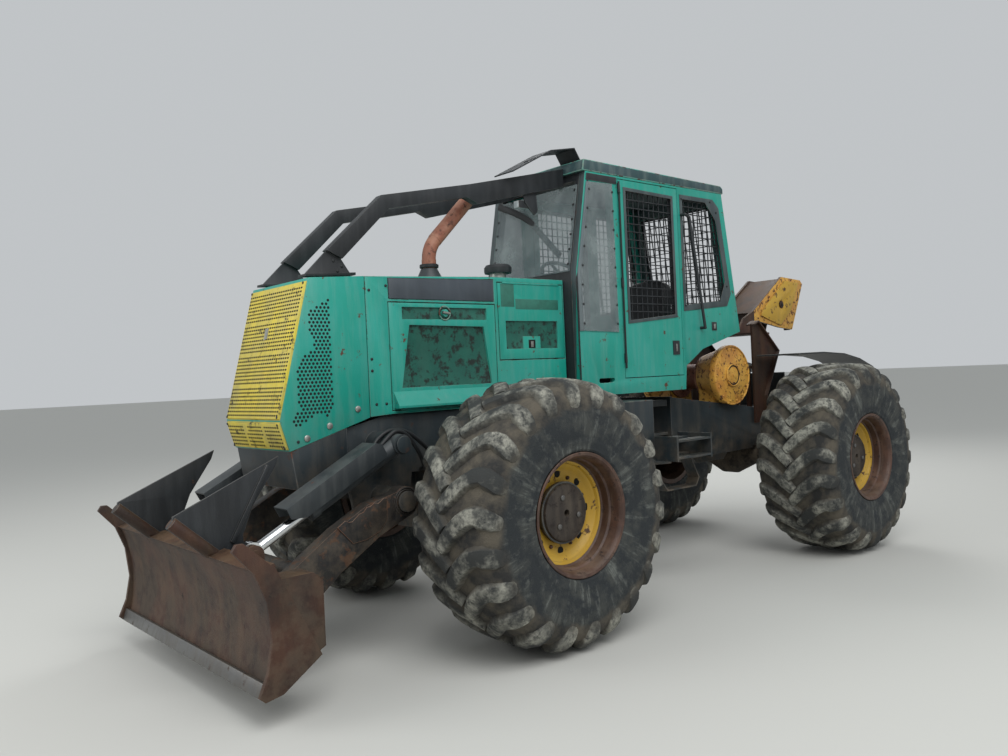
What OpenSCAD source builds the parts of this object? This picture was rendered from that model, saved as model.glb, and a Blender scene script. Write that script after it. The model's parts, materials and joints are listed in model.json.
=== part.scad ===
// Cable skidder: a front unit with engine, cab and blade, and a rear unit with winch and arch,
// joined by a vertical pivot midway between the axles.
// Lengths are in millimetres. +X is forward, +Y the machine's left, +Z up, z = 0 the ground.
// The origin is at the middle of the machine's box. Each unit is drawn from its own axle.

/* [Whole machine] */
// Distance between the two axles
wheelbase = 3400; // [3360:10:3440]
// Distance between the left and right tyre centres
track = 2060; // [2050:10:2100]
// Gap that lets one piece pass another
gap = 6; // [5:1:8]
// Running gap between a pin and its bore, as a radius
fit = 0.08; // [0.05:0.01:0.1]
// Gap at a seat, where one piece rests on another
seat_gap = 0.3; // [0.2:0.1:0.5]

/* [Wheels] */
// Tyre radius out to the tips of the lugs
tyre_r = 785; // [780:1:790]
// Tyre width
tyre_w = 680; // [640:10:684]
// Depth of the lugs
lug_depth = 36; // [24:2:44]
// Lugs on each side of a tyre
lug_count = 22; // [18:1:24]
// Radius of the rim's flange
rim_r = 355; // [350:1:360]
// Width over the rim's flanges
rim_w = 635; // [600:5:640]
// Radius of the hub's drum
hub_r = 165; // [150:5:175]

/* [Hood] */
// Half the hood's width
hood_half = 360; // [350:5:365]
// Thickness of the hood's panels and doors
hood_t = 30; // [20:2:34]
// Height of the hood's top at its rear end
hood_top = 2250; // [2235:5:2260]
// Height of a slot in the grille
slot_h = 12; // [8:1:14]

/* [Cab] */
// Half the cab's width
cab_half = 490; // [485:5:500]
// Thickness of the cab's walls and doors
cab_t = 50; // [40:2:54]
// Height of the roof's top
roof_top = 3110; // [3100:5:3140]
// Thickness of the roof
roof_t = 85; // [70:5:90]
// Spacing of the window mesh
mesh_pitch = 60; // [50:5:80]
// Bar width of the window mesh
mesh_bar = 7; // [5:1:9]

/* [Blade] */
// Width of the blade
blade_w = 2050; // [1950:10:2150]
// Thickness of the blade's curved plate
blade_t = 20; // [16:1:26]
// Width of one push arm
arm_w = 90; // [80:2:94]
// Radius of the lift rods
lift_rod_r = 28; // [24:1:30]

/* [Frames] */
// Half the width over both frames' side plates
frame_half = 330; // [320:5:330]
// Thickness of the frames' side plates
frame_t = 30; // [25:1:34]
// Radius of the two pivot pins
pivot_r = 50; // [44:1:56]
// Radius of the axle tubes
axle_r = 105; // [95:1:105]

/* [Winch and arch] */
// Radius of the winch's end covers
winch_r = 260; // [245:5:262]
// Radius of the winch drum's core
drum_r = 110; // [90:5:130]
// Half the width over the fairlead's side plates
head_half = 190; // [180:5:200]
// Radius of the fairlead roller
roller_r = 60; // [50:2:70]

/* [Hidden] */
$fn = 64;
teal = "#2a9d84";
band_grey = "#3c4046";
yellow = "#d9b52b";
frame_black = "#24272a";
rust = "#6d4330";
tyre_black = "#2d2e2f";
steel = "#c9cdd0";
glass_grey = "#6b7276";
seat_black = "#1c1d1f";

// How far the machine reaches past each axle, which puts the origin in the middle of its box
guard_tip = [1965, 935];
guard_foot = [1745, 735];
guard_tube_r = 33;
guard_rise = (guard_tip[1] - guard_foot[1]) / norm(guard_tip - guard_foot);
front_reach = guard_tip[0] + guard_tube_r * guard_rise;
rear_reach = 1214;
front_x = (wheelbase + rear_reach - front_reach) / 2;
rear_x = front_x - wheelbase;
pivot_x = -wheelbase / 2;
axle_z = tyre_r;
tyre_y = track / 2;

// Pins of the linkage, from the front axle, as [x, z]
arm_pin = [680, 890];
arm_pin_r = 40;
lift_pin = [700, 1220];
lift_pin_r = 30;
lift_eye = [1610, 740];
lift_y = 550;
// Steering cylinder: barrel pin from the front axle, and rod eye from the central pivot
steer_pin = [-850, 220];
steer_eye = [-120, 240];
steer_z = 1000;

// Placing helpers
module front() {
  translate([front_x, 0, 0]) children();
}

module rear() {
  translate([rear_x, 0, 0]) children();
}

module both() {
  children();
  mirror([0, 1, 0]) children();
}

// A side-view outline made into a plate between two distances from the centreline
module plate(y0, y1) {
  translate([0, y1, 0]) rotate([90, 0, 0]) linear_extrude(y1 - y0) children();
}

// A side-view outline right across the machine
module across(half) {
  plate(-half, half) children();
}

module box(low, high) {
  translate(low) cube(high - low);
}

// A round bar along Y through a side-view point
module bar(point, r, y0, y1) {
  translate([point[0], y0, point[1]]) rotate([-90, 0, 0]) cylinder(h = y1 - y0, r = r);
}

// A bent strip along a chain of side-view points, t thick on its left side, with mitred corners
function left_of(a, b) = [a[1] - b[1], b[0] - a[0]] / norm(b - a);

function mitre(p, i) =
  let (
    before = left_of(p[max(i, 1) - 1], p[max(i, 1)]),
    after = left_of(p[min(i, len(p) - 2)], p[min(i, len(p) - 2) + 1])
  )
  (before + after) / (1 + before * after);

module strips(points, t) {
  last = len(points) - 1;
  polygon(concat(points, [for (i = [last : -1 : 0]) points[i] + t * mitre(points, i)]));
}

// A long hole with round ends, r its half height
module long_hole(x0, x1, z, r) {
  polygon([
    for (turn = [90 : 30 : 270]) [x0 + r + r * cos(turn), z + r * sin(turn)],
    for (turn = [-90 : 30 : 90]) [x1 - r + r * cos(turn), z + r * sin(turn)]
  ]);
}

// A round tube through points in space
module tube(points, r) {
  for (i = [0 : len(points) - 2]) {
    a = points[i];
    b = points[i + 1];
    d = b - a;
    translate(a) rotate([0, acos(d[2] / norm(d)), atan2(d[1], d[0])]) cylinder(h = norm(d), r = r);
  }
  for (i = [1 : len(points) - 2]) {
    translate(points[i]) sphere(r * 1.06);
  }
}

// Wheels
seat_r = rim_r - 25;
tread_r = tyre_r - lug_depth;
tyre_half = tyre_w / 2;
bead_half = rim_w / 2 - 30;

function tyre_side() = [
  [seat_r + 0.3, bead_half],
  [rim_r + 4, bead_half],
  [rim_r + 20, rim_w / 2 + 2],
  [rim_r + 75, tyre_half - 3],
  [rim_r + 165, tyre_half],
  [tread_r - 130, tyre_half - 3],
  [tread_r - 50, tyre_half - 20],
  [tread_r, tyre_half - 60]
];

module tyre() {
  side = tyre_side();
  other = [for (i = [len(side) - 1 : -1 : 0]) [side[i][0], -side[i][1]]];
  color(tyre_black) rotate([-90, 0, 0]) {
    rotate_extrude() polygon(concat(side, other));
    lug_band();
  }
}

module lug_band() {
  rotate_extrude() polygon([
    [tread_r - 10, -tyre_half + 70],
    [tyre_r - 10, -tyre_half + 50],
    [tyre_r, -tyre_half + 120],
    [tyre_r, tyre_half - 120],
    [tyre_r - 10, tyre_half - 50],
    [tread_r - 10, tyre_half - 70]
  ]);
}

disc_y = 90;
disc_t = 25;
barrel_t = 16;
hub_inner = -130;
hub_outer = 185;

module rim() {
  color(yellow) rotate([-90, 0, 0]) difference() {
    union() {
      rotate_extrude() polygon([
        [seat_r - barrel_t, -rim_w / 2],
        [rim_r, -rim_w / 2],
        [rim_r, -rim_w / 2 + 12],
        [seat_r, bead_half - rim_w + 60],
        [seat_r, bead_half],
        [rim_r, rim_w / 2 - 12],
        [rim_r, rim_w / 2],
        [seat_r - barrel_t, rim_w / 2]
      ]);
      translate([0, 0, disc_y]) cylinder(h = disc_t, r = seat_r - barrel_t + 4);
      translate([0, 0, hub_inner]) cylinder(h = disc_y - hub_inner, r = hub_r);
      translate([0, 0, disc_y]) cylinder(h = hub_outer - disc_y - 20, r = hub_r);
      translate([0, 0, hub_outer - 20]) cylinder(h = 20, r1 = hub_r, r2 = hub_r - 14);
    }
    for (turn = [0 : 45 : 315]) {
      rotate(turn) translate([(hub_r + seat_r) / 2, 0, disc_y - 1]) cylinder(h = disc_t + 2, r = 20);
    }
  }
}

module wheel_place(side) {
  translate([0, side * tyre_y, axle_z]) mirror([0, side < 0 ? 1 : 0, 0]) children();
}

// Axles
axle_end = tyre_y + hub_inner - 10;

module axle_body() {
  translate([0, 0, axle_z]) {
    rotate([90, 0, 0]) cylinder(h = 2 * axle_end, r = axle_r, center = true);
    both() rotate([-90, 0, 0]) {
      translate([0, 0, 60]) cylinder(h = 200, r1 = 200, r2 = axle_r);
      translate([0, 0, axle_end - 30]) cylinder(h = 30, r = hub_r);
    }
    rotate([90, 0, 0]) cylinder(h = 122, r = 200, center = true);
  }
}

trunnion_r = 90;
trunnion_x = 345;

module front_axle() color(frame_black) front() {
  axle_body();
  translate([-trunnion_x, 0, axle_z]) rotate([0, 90, 0]) cylinder(h = 2 * trunnion_x, r = trunnion_r);
  translate([-235, 0, axle_z]) rotate([0, 90, 0]) cylinder(h = 470, r = 165);
}

module rear_axle() color(frame_black) rear() {
  axle_body();
  translate([0, 0, axle_z]) rotate([0, 90, 0]) cylinder(h = 150, r1 = 165, r2 = 140);
}

// Front frame
frame_in = frame_half - frame_t;
frame_top = 1385;
front_frame_end = -1100;
upper_ear = [1220, 1270];
lower_ear = [750, 800];
pedestal_z = 640;
tie_down = [-930, 880];

module front_side_outline() {
  polygon([
    [1150, 1020], [1150, 1245], [905, 1318], [600, frame_top], [front_frame_end, frame_top],
    [front_frame_end, lower_ear[0]], [-850, lower_ear[0]], [-450, 1020],
    [450, 1020], [480, 820], [860, 820], [900, 1020]
  ]);
}

module ear(z, from_x, base_half) {
  translate([0, 0, z[0]]) linear_extrude(z[1] - z[0]) {
    translate([pivot_x, 0]) circle(130);
    polygon([
      [from_x, -base_half], [from_x, base_half],
      [pivot_x, 130], [pivot_x, -130]
    ]);
  }
}

// The side plates with the pins of the blade's linkage
module front_frame() color(frame_black) front() both() {
  difference() {
    union() {
      plate(frame_in, frame_half) front_side_outline();
      bar(arm_pin, 75, frame_half - 5, lift_y - arm_w / 2 - gap);
      bar(arm_pin, arm_pin_r, frame_half - 5, lift_y + arm_w / 2 + 20);
      bar(arm_pin, 60, lift_y + arm_w / 2 + gap, lift_y + arm_w / 2 + 20);
      bar(lift_pin, 70, frame_half - 5, lift_y - 71);
      bar(lift_pin, lift_pin_r, frame_half - 5, lift_y + 85);
      bar(lift_pin, 48, lift_y + 71, lift_y + 85);
    }
    bar(tie_down, 25, frame_in - 10, frame_half + 10);
  }
}

// What ties the side plates together: cross plates, the axle's pedestals, steering brackets and the pivot's ears
module frame_cross() color(frame_black) front() {
  half = frame_in - seat_gap;
  difference() {
    union() {
      box([1120, -half, 1020], [1150, half, 1200]);
      box([-450, -half, 1020], [450, half, 1040]);
      box([450, -half, 830], [470, half, 1040]);
      box([front_frame_end, -half, lower_ear[0]], [front_frame_end + 25, half, frame_top + 10]);
      box([-1600, -frame_half, frame_top + seat_gap], [-940, frame_half, cab_low - seat_gap]);
      for (x = [-trunnion_x + 10, trunnion_x - 90]) {
        box([x, -200, pedestal_z], [x + 80, 200, 1030]);
      }
      for (z = [steer_z - 62, steer_z + 46]) {
        box([steer_pin[0] - 50, -half, z], [steer_pin[0] + 100, half, z + 16]);
      }
      both() translate([steer_pin[0], steer_pin[1], steer_z - 60]) cylinder(h = 120, r = 20);
      ear(upper_ear, front_frame_end + 20, half);
      ear(lower_ear, front_frame_end + 20, half);
    }
    translate([-trunnion_x - 20, 0, axle_z]) rotate([0, 90, 0])
      cylinder(h = 2 * trunnion_x + 40, r = trunnion_r + 0.3);
    both() box([front_frame_end - 5, 140, steer_z - 58], [front_frame_end + 30, 294, steer_z + 58]);
    translate([pivot_x, 0, lower_ear[0] - 10])
      cylinder(h = upper_ear[1] - lower_ear[0] + 20, r = pivot_r + fit);
  }
}

module engine_block() color(rust) front() {
  box([-260, -250, 1120], [nose_back - 10, 250, 1950]);
}

// Hood
nose_back = 750;
hood_front = [
  [1110, hood_top - 60], [1320, 1390], [1270, 1220]
];
strip_back = 585;
hood_low = 1386;
door_low = 1410;
door_high = 2060;
door_back = -250;
hood_end = -900;
pan_back = 905;
panel_front = -285;
panel_low = 1695;

module nose_outline() {
  polygon(concat([[nose_back, 1375], [nose_back, hood_top - 38]], hood_front));
}

module nose_pan() color(frame_black) front() {
  difference() {
    across(frame_half + 25) polygon([
      [hood_front[2][0] - 5, hood_front[2][1] - 0.3], [1230, 1000], [pan_back, 1000], [pan_back, 1328]
    ]);
    across(frame_half + 10) polygon([
      [hood_front[2][0] - 20, hood_front[2][1] + 40], [1212, 1015], [pan_back - 20, 1015],
      [pan_back - 20, 1450], [1000, 1450]
    ]);
  }
}

module nose_shell() color(teal) front() {
  difference() {
    across(hood_half) nose_outline();
    across(hood_half - hood_t) offset(delta = -hood_t) nose_outline();
    across(hood_half - hood_t) polygon([
      [nose_back - 10, 1300], [nose_back - 10, hood_top - 38 - hood_t],
      [nose_back + 60, hood_top - 40 - hood_t], [nose_back + 60, 1330]
    ]);
    across(hood_half - hood_t) polygon([
      [1142, 2105], [1308, 1440], [1400, 1440], [1400, 2105]
    ]);
    across(hood_half - hood_t) polygon([
      [1306, 1370], [1278, 1250], [1400, 1250], [1400, 1370]
    ]);
  }
}

// The grille's two panels, each from its lower edge upward along its own slope
grille_half = hood_half - hood_t - seat_gap;
grille_t = 16;
// Bands of slots on the upper panel: where each starts up the slope, and its rows
slot_bands = [[24, 7], [206, 5], [345, 5], [484, 6]];
slot_pitch = 26;
slot_columns = 3;

module grille_panel(low, high, bands) {
  lean = atan2(high[1] - low[1], high[0] - low[0]);
  across_slot = 2 * grille_half / slot_columns;
  translate([low[0], 0, low[1]]) rotate([0, -lean, 0]) difference() {
    translate([0, -grille_half, -grille_t]) cube([norm(high - low), 2 * grille_half, grille_t]);
    for (band = bands, row = [0 : band[1] - 1], column = [0 : slot_columns - 1]) {
      translate([
        band[0] + row * slot_pitch, -grille_half + 12 + column * across_slot, -grille_t - 1
      ]) cube([slot_h, across_slot - 24, grille_t + 2]);
    }
  }
}

module grille() color(yellow) front() {
  grille_panel([1326, 1445], [1166, 2100], slot_bands);
  grille_panel([1293, 1252], [1318, 1362], [[14, 4]]);
}

module hood_outline() {
  polygon([
    [nose_back - gap, 1378], [nose_back - gap, hood_top - 38], [-260, hood_top - 2],
    [hood_end, hood_top], [hood_end, hood_low], [strip_back, hood_low]
  ]);
}

module engine_door_outline(grow) {
  polygon([
    [strip_back + grow, door_low - grow], [strip_back + grow, door_high + grow],
    [door_back - grow, door_high + grow], [door_back - grow, door_low - grow]
  ]);
}

module access_outline(grow) {
  polygon([
    [panel_front + grow, panel_low - grow], [panel_front + grow, hood_top - 40 + grow],
    [hood_end + 12 - grow, hood_top - 40 + grow], [hood_end + 12 - grow, panel_low - grow]
  ]);
}

module hood_shell() color(teal) front() {
  difference() {
    across(hood_half) hood_outline();
    across(hood_half - hood_t) polygon([
      [nose_back, 1300], [nose_back, hood_top - 38 - hood_t], [-260, hood_top - 2 - hood_t],
      [hood_end + hood_t, hood_top - hood_t], [hood_end + hood_t, 1300]
    ]);
    across(hood_half + 10) engine_door_outline(gap);
    both() plate(hood_half - hood_t - 10, hood_half + 10) access_outline(gap);
    both() plate(hood_half - 6, hood_half + 10) polygon([
      [strip_back, door_high + 20], [strip_back, hood_top - 42],
      [door_back, hood_top - 20], [door_back, door_high + 20]
    ]);
  }
}

module hood_bands() color(band_grey) front() both() {
  plate(hood_half - 6, hood_half + 4) polygon([
    [strip_back - 4, door_high + 24], [strip_back - 4, hood_top - 44],
    [door_back + 4, hood_top - 24], [door_back + 4, door_high + 24]
  ]);
}

module engine_door() {
  difference() {
    union() {
      plate(hood_half - hood_t, hood_half) engine_door_outline(0);
      translate([door_back + 10, 0, 0]) rotate([90, 0, 90])
        linear_extrude(strip_back - door_back - 20) polygon([
          [hood_half - 1, 1520], [hood_half + 55, 1432], [hood_half + 55, 1418], [hood_half - 1, 1418]
        ]);
    }
    plate(hood_half - 14, hood_half + 10) polygon([
      [440, 1925], [-150, 1915], [-205, 1540], [510, 1540]
    ]);
    plate(hood_half - 10, hood_half + 10) polygon([
      [490, 2035], [-180, 2035], [-180, 1960], [490, 1960]
    ]);
  }
  bar([165, 2000], 24, hood_half - 12, hood_half + 12);
  hinge_tube(door_low, strip_back - 60, door_back + 60);
}

// A hinge's tube along a panel's outer edge, close to the frame that carries it
module hinge_tube(z, x0, x1) {
  translate([x1, hood_half, z]) rotate([0, 90, 0]) cylinder(h = x0 - x1, r = gap - seat_gap);
}

module engine_door_left() color(teal) front() engine_door();

module engine_door_right() color(teal) front() mirror([0, 1, 0]) engine_door();

module access_panel() {
  difference() {
    plate(hood_half - hood_t, hood_half) access_outline(0);
    plate(hood_half - 10, hood_half + 10) polygon([
      [-345, 1765], [-345, 1955], [-830, 1955], [-830, 1765]
    ]);
  }
  plate(hood_half - 12, hood_half - 2) polygon([
    [-500, 1745], [-500, 1850], [-660, 1850], [-660, 1745]
  ]);
  hinge_tube(hood_top - 40, panel_front - 40, hood_end + 52);
}

module access_panel_left() color(teal) front() access_panel();

module access_panel_right() color(teal) front() mirror([0, 1, 0]) access_panel();

module exhaust() color(rust) front() {
  at = [95, 120];
  bend = 200;
  pipe_r = 46;
  translate([at[0], at[1], hood_top - 11.5 + seat_gap]) {
    cylinder(h = 75, r1 = 90, r2 = 54);
    cylinder(h = 135, r = pipe_r + 2);
    translate([-bend, 0, 130]) rotate([90, 0, 0]) {
      rotate_extrude(angle = 45) translate([bend, 0]) circle(pipe_r);
      rotate(45) translate([bend, -6, 0]) rotate([-90, 0, 0]) difference() {
        cylinder(h = 426, r = pipe_r + 2);
        translate([0, 0, 80]) cylinder(h = 400, r = pipe_r - 5);
      }
    }
  }
}

module air_cleaner() color(frame_black) front() translate([-520, 100, hood_top - 1 + seat_gap]) {
  cylinder(h = 70, r = 58);
  translate([0, 0, 62]) rotate_extrude() polygon([
    [0, 0], [95, 0], [98, 14], [98, 40], [84, 58], [45, 66], [0, 68]
  ]);
}

// Guard beams from the hood's front to the roof
sweep_half = 270;
sweep_w = 60;

module sweeps() color(frame_black) front() both() {
  plate(sweep_half - sweep_w / 2, sweep_half + sweep_w / 2) polygon([
    [950, hood_top + 112], [560, roof_top - 388], [-140, roof_top - 244],
    [roof_front + seat_gap, roof_top - 38], [roof_front + seat_gap, roof_top - 165],
    [-200, roof_top - 368], [-110, roof_top - 334], [510, roof_top - 466], [850, hood_top + 68]
  ]);
  plate(sweep_half - 8, sweep_half + 8) polygon([
    [1095, hood_top - 38], [785, hood_top - 22], [850, hood_top + 70], [940, hood_top + 115]
  ]);
  plate(sweep_half - 45, sweep_half + 45) polygon([
    [1105, hood_top - 47], [775, hood_top - 28], [775, hood_top - 12], [1105, hood_top - 33]
  ]);
}

module visor_sheet() color(frame_black) front() {
  difference() {
    plate(215, 410) strips([
      [-1090, roof_top], [-1030, roof_top + 86], [-800, roof_top + 40], [-430, roof_top - 150]
    ], 8);
    translate([-640, 350, roof_top - 210]) cylinder(h = 400, r = 45);
  }
}

module work_lamp() color(frame_black) front() {
  top = roof_top - 230;
  plate(sweep_half - 6, sweep_half + 6) polygon([
    [-640, top - 30], [-760, top], [-770, top - 135], [-740, top - 165], [-700, top - 135], [-650, top - 80]
  ]);
  box([-700, sweep_half - 60, top - 120], [-600, sweep_half - 6, top - 68]);
}

// Cab
cab_front_x = -912;
cab_low = 1412;
floor_t = 45;
roof_low = roof_top - roof_t;
cab_in = cab_half - cab_t;
windshield_low = hood_top + 50;
rake = atan2(120, 2950 - windshield_low);
door_front_x = -1390;
door_rear_x = -2085;
door_sill = 1530;
door_head = roof_low - 22;

function front_wall_x(z) = cab_front_x - max(0, z - windshield_low) * tan(rake);

roof_front = front_wall_x(roof_low) + 30;

function cab_outline() = [
  [cab_front_x, cab_low], [cab_front_x, windshield_low], [front_wall_x(roof_low), roof_low],
  [-2690, roof_low], [-2880, 1870], [-2350, 1730], [-2125, 1600], [-2105, cab_low]
];

pane_top = roof_low - 85;
quarter_pane = [
  [-965, 1900], [-1310, 1885], [-1300, pane_top], [-1075, pane_top - 10], [-970, windshield_low]
];
rear_pane = [
  [-2150, pane_top], [-2520, pane_top], [-2600, pane_top - 80],
  [-2715, 2190], [-2670, 2120], [-2150, 2070]
];
door_pane = [
  [-1450, pane_top + 5], [-2025, pane_top - 5], [-2025, 1985], [-1450, 1935]
];

module door_outline(grow) {
  polygon([
    [door_front_x + grow, door_sill - grow], [door_front_x + grow, door_head + grow],
    [door_rear_x - grow, door_head + grow], [door_rear_x - grow, door_sill - grow]
  ]);
}

module cab_sides() color(teal) front() both() {
  plate(cab_in, cab_half) difference() {
    polygon(cab_outline());
    polygon(quarter_pane);
    polygon(rear_pane);
    door_outline(gap);
    long_hole(-1270, -1100, 1517, 17);
  }
}

module grab_rails() color(frame_black) front() both() {
  tube([
    [-2130, cab_half + seat_gap, pane_top - 140], [-2130, cab_half + 45, pane_top - 140],
    [-2180, cab_half + 45, pane_top - 160],
    [-2330, cab_half + 45, 1900], [-2330, cab_half + seat_gap, 1900]
  ], 12);
}

module cab_floor() color(frame_black) front() {
  across(cab_in - seat_gap) polygon([
    [cab_front_x - cab_t - seat_gap, cab_low], [-2105, cab_low], [-2125, 1600], [-2350, 1730],
    [-2825, 1855], [-2818, 1905], [-2330, 1780], [-2080, 1635], [-2060, cab_low + floor_t],
    [cab_front_x - cab_t - seat_gap, cab_low + floor_t]
  ]);
}

module front_wall_outline() {
  polygon([
    [cab_front_x, cab_low], [cab_front_x, windshield_low], [front_wall_x(roof_low), roof_low],
    [front_wall_x(roof_low) - cab_t, roof_low], [cab_front_x - cab_t, windshield_low],
    [cab_front_x - cab_t, cab_low]
  ]);
}

module cab_front() color(frame_black) front() {
  difference() {
    across(cab_in - seat_gap) front_wall_outline();
    box([-1200, -cab_in + 40, windshield_low + 20], [-800, cab_in - 40, roof_low - 60]);
  }
}

rear_low = [-2868, 1920];
rear_top = [-2692, roof_low];
rear_window_half = cab_in - 70;
rear_window_z = [2110, roof_low - 90];

module cab_rear() color(teal) front() {
  difference() {
    across(cab_in - seat_gap) polygon([
      rear_low, rear_top, rear_top + [cab_t, 0], rear_low + [cab_t, 0]
    ]);
    box([-2950, -rear_window_half, rear_window_z[0]], [-2500, rear_window_half, rear_window_z[1]]);
  }
}

module cab_roof() color(teal) front() {
  across(cab_half + 6) polygon([
    [roof_front, roof_low + seat_gap], [roof_front - 16, roof_top],
    [-2680, roof_top - 18], [-2712, roof_top - 40], [-2712, roof_low + seat_gap]
  ]);
}

module cab_glass() color(glass_grey) front() {
  both() plate(cab_half + seat_gap, cab_half + 8) polygon([
    [-948, 1880], [-1330, 1868], [-1320, pane_top + 18], [-1062, pane_top + 10], [-945, windshield_low]
  ]);
  translate([cab_front_x + 1, 0, windshield_low]) rotate([0, -rake, 0])
    translate([0, -cab_in + 12, 6]) cube([8, 2 * cab_in - 24, (pane_top - windshield_low) / cos(rake) - 11]);
}

// A mesh panel in a side-view outline: a frame and two layers of bars
module mesh(x0, x1, z0, z1) {
  for (x = [x0 + mesh_pitch / 2 : mesh_pitch : x1]) {
    translate([x - mesh_bar / 2, z0]) square([mesh_bar, z1 - z0]);
  }
}

module mesh_rows(x0, x1, z0, z1) {
  for (z = [z0 + mesh_pitch / 2 : mesh_pitch : z1]) {
    translate([x0, z - mesh_bar / 2]) square([x1 - x0, mesh_bar]);
  }
}

module mesh_panel(outline, y) {
  xs = [for (p = outline) p[0]];
  zs = [for (p = outline) p[1]];
  low = [min(xs), min(zs)];
  high = [max(xs), max(zs)];
  plate(y, y + mesh_bar) intersection() {
    polygon(outline);
    mesh(low[0], high[0], low[1], high[1]);
  }
  plate(y + mesh_bar - 1, y + 2 * mesh_bar - 1) intersection() {
    polygon(outline);
    mesh_rows(low[0], high[0], low[1], high[1]);
  }
  plate(y, y + 2 * mesh_bar - 1) difference() {
    polygon(outline);
    offset(delta = -14) polygon(outline);
  }
}

module cab_mesh() color(frame_black) front() {
  both() mesh_panel(rear_pane, cab_in + 20);
  half = rear_window_half - seat_gap;
  lean = atan2(rear_top[0] - rear_low[0], rear_top[1] - rear_low[1]);
  low = (rear_window_z[0] + 1.5 - rear_low[1]) / cos(lean);
  high = (rear_window_z[1] - 1.5 - rear_low[1]) / cos(lean);
  translate([rear_low[0] + cab_t / 2, 0, rear_low[1]]) rotate([0, lean, 0]) rotate([0, 0, 90])
    mesh_panel([[-half, low], [half, low], [half, high], [-half, high]], -6);
}

module door() {
  plate(cab_in, cab_half) difference() {
    door_outline(0);
    polygon(door_pane);
  }
  mesh_panel(door_pane, cab_half - 22);
  plate(cab_half - 10, cab_half + 6) translate([-2040, 1690]) square([80, 110]);
  for (z = [1640, 2200, pane_top - 40]) {
    translate([door_front_x, cab_half + 12, z]) cylinder(h = 70, r = 13);
  }
}

module door_left() color(teal) front() door();

module door_right() color(teal) front() mirror([0, 1, 0]) door();

module seat() color(seat_black) front() {
  box([-2040, -170, cab_low + floor_t + seat_gap], [-1860, 170, 1790]);
  box([-2310, -240, 1790 + seat_gap], [-1820, 240, 1900]);
  translate([-2290, -225, 1880]) rotate([0, -8, 0]) cube([110, 450, 470]);
}

module console() color(seat_black) front() {
  box([cab_front_x - cab_t - 200, -300, cab_low + floor_t + seat_gap],
    [cab_front_x - cab_t - seat_gap, 300, 2130]);
  translate([-1080, 0, 2060]) rotate([0, -38, 0]) {
    cylinder(h = 330, r = 26);
    translate([0, 0, 320]) {
      rotate_extrude() translate([190, 0]) circle(14);
      cylinder(h = 24, r = 52);
      for (turn = [0, 120, 240]) {
        rotate(turn) translate([40, -12, 2]) cube([145, 24, 10]);
      }
    }
  }
}

module step_boxes() color(frame_black) front() both() {
  box([-1380, 430, 925], [-1010, 745, 1365]);
  box([-1260, frame_half - 1, 1180], [-1120, 431, 1340]);
  box([-1130, frame_half - 31, 1180], [front_frame_end - seat_gap, frame_half + 1, 1340]);
}

module steps() color(frame_black) front() both() {
  for (z = [940, 1060]) {
    box([-1790, 640, z], [-1381, 740, z + 14]);
    box([-1790, 840, z], [-1400, 940, z + 14]);
  }
  box([-1400, 600, 925], [-1381, 940, 1100]);
  box([-1790, 640, 925], [-1776, 940, 1100]);
  plate(700, 800) strips([
    [-1250, 925 - seat_gap], [-1440, 712], [-1765, 712], [-1800, 765], [-1700, 947]
  ], 10);
}

// Blade
blade_half = blade_w / 2;
curve_r = 826;
curve_at = [2541, 420];

module blade_section(z0, z1) {
  intersection() {
    difference() {
      translate(curve_at) circle(curve_r + blade_t, $fn = 128);
      translate(curve_at) circle(curve_r, $fn = 128);
    }
    translate([1500, z0]) square([500, z1 - z0]);
  }
}

module end_plate_outline() {
  polygon([
    [1806, 172], [1760, 275], [1732, 420], [1752, 600], [1806, 740], [1905, 855], [1885, 885],
    [1850, 885], [1700, 745], [1484, 300], [1690, 164], [1780, 148]
  ]);
}

blade_top = 735;
lip = [[1776, 728], [1794, 745], [1700, 770], [1690, 752]];
beam = [[1560, 300], [1560, 500], [1745, 560], [1745, 240]];

// What a piece on the blade's back is cut to: the curved plate, its lip and its beam
module blade_back() {
  intersection() {
    translate(curve_at) circle(curve_r + blade_t + seat_gap, $fn = 128);
    translate([1500, 0]) square([600, blade_top + seat_gap]);
  }
  offset(delta = seat_gap) polygon(lip);
  offset(delta = seat_gap) polygon(beam);
}

module blade() color(rust) front() {
  across(blade_half - 20) {
    blade_section(155, blade_top);
    polygon(lip);
    difference() {
      polygon(beam);
      offset(delta = -16) polygon(beam);
      translate(curve_at) circle(curve_r + 2, $fn = 128);
    }
  }
  both() {
    plate(blade_half - 25, blade_half) end_plate_outline();
    plate(blade_half - 165, blade_half - 24) difference() {
      polygon([[1450, 330], [1450, 640], [1500, 690], [1712, 690], [1712, 268], [1600, 250]]);
      translate(curve_at) circle(curve_r + 2, $fn = 128);
    }
    for (y = [lift_y - 60, lift_y + 35]) {
      plate(y, y + 25) difference() {
        union() {
          translate(lift_eye) circle(48);
          polygon([[1562, 735], [1650, 775], [1735, 700], [1725, 480], [1570, 480]]);
        }
        translate(curve_at) circle(curve_r + 2, $fn = 128);
      }
    }
    bar(lift_eye, 24, lift_y - 62, lift_y + 62);
  }
}

module cutting_edge() color(steel) front() {
  across(blade_half - 26) polygon([[1763, 150], [1790, 154], [1768, 222], [1742, 214]]);
}

module ear_guards() color(frame_black) front() both() {
  y = 435;
  difference() {
    union() {
      plate(y - 6, y + 6) polygon([
        [1955, 965], [1380, 1212], [1400, 1160], [1540, 960], [1598, 820], [1590, 700],
        [1600, 500], [1690, 500], [1725, 700], [1960, 920]
      ]);
      plate(y + 5, y + 22) polygon([
        [1440, 1165], [1456, 1173], [1670, 800], [1650, 792]
      ]);
      tube([[guard_tip[0], y, guard_tip[1]], [guard_foot[0], y, guard_foot[1]]], guard_tube_r);
    }
    plate(y - 50, y + 50) blade_back();
  }
}

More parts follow.
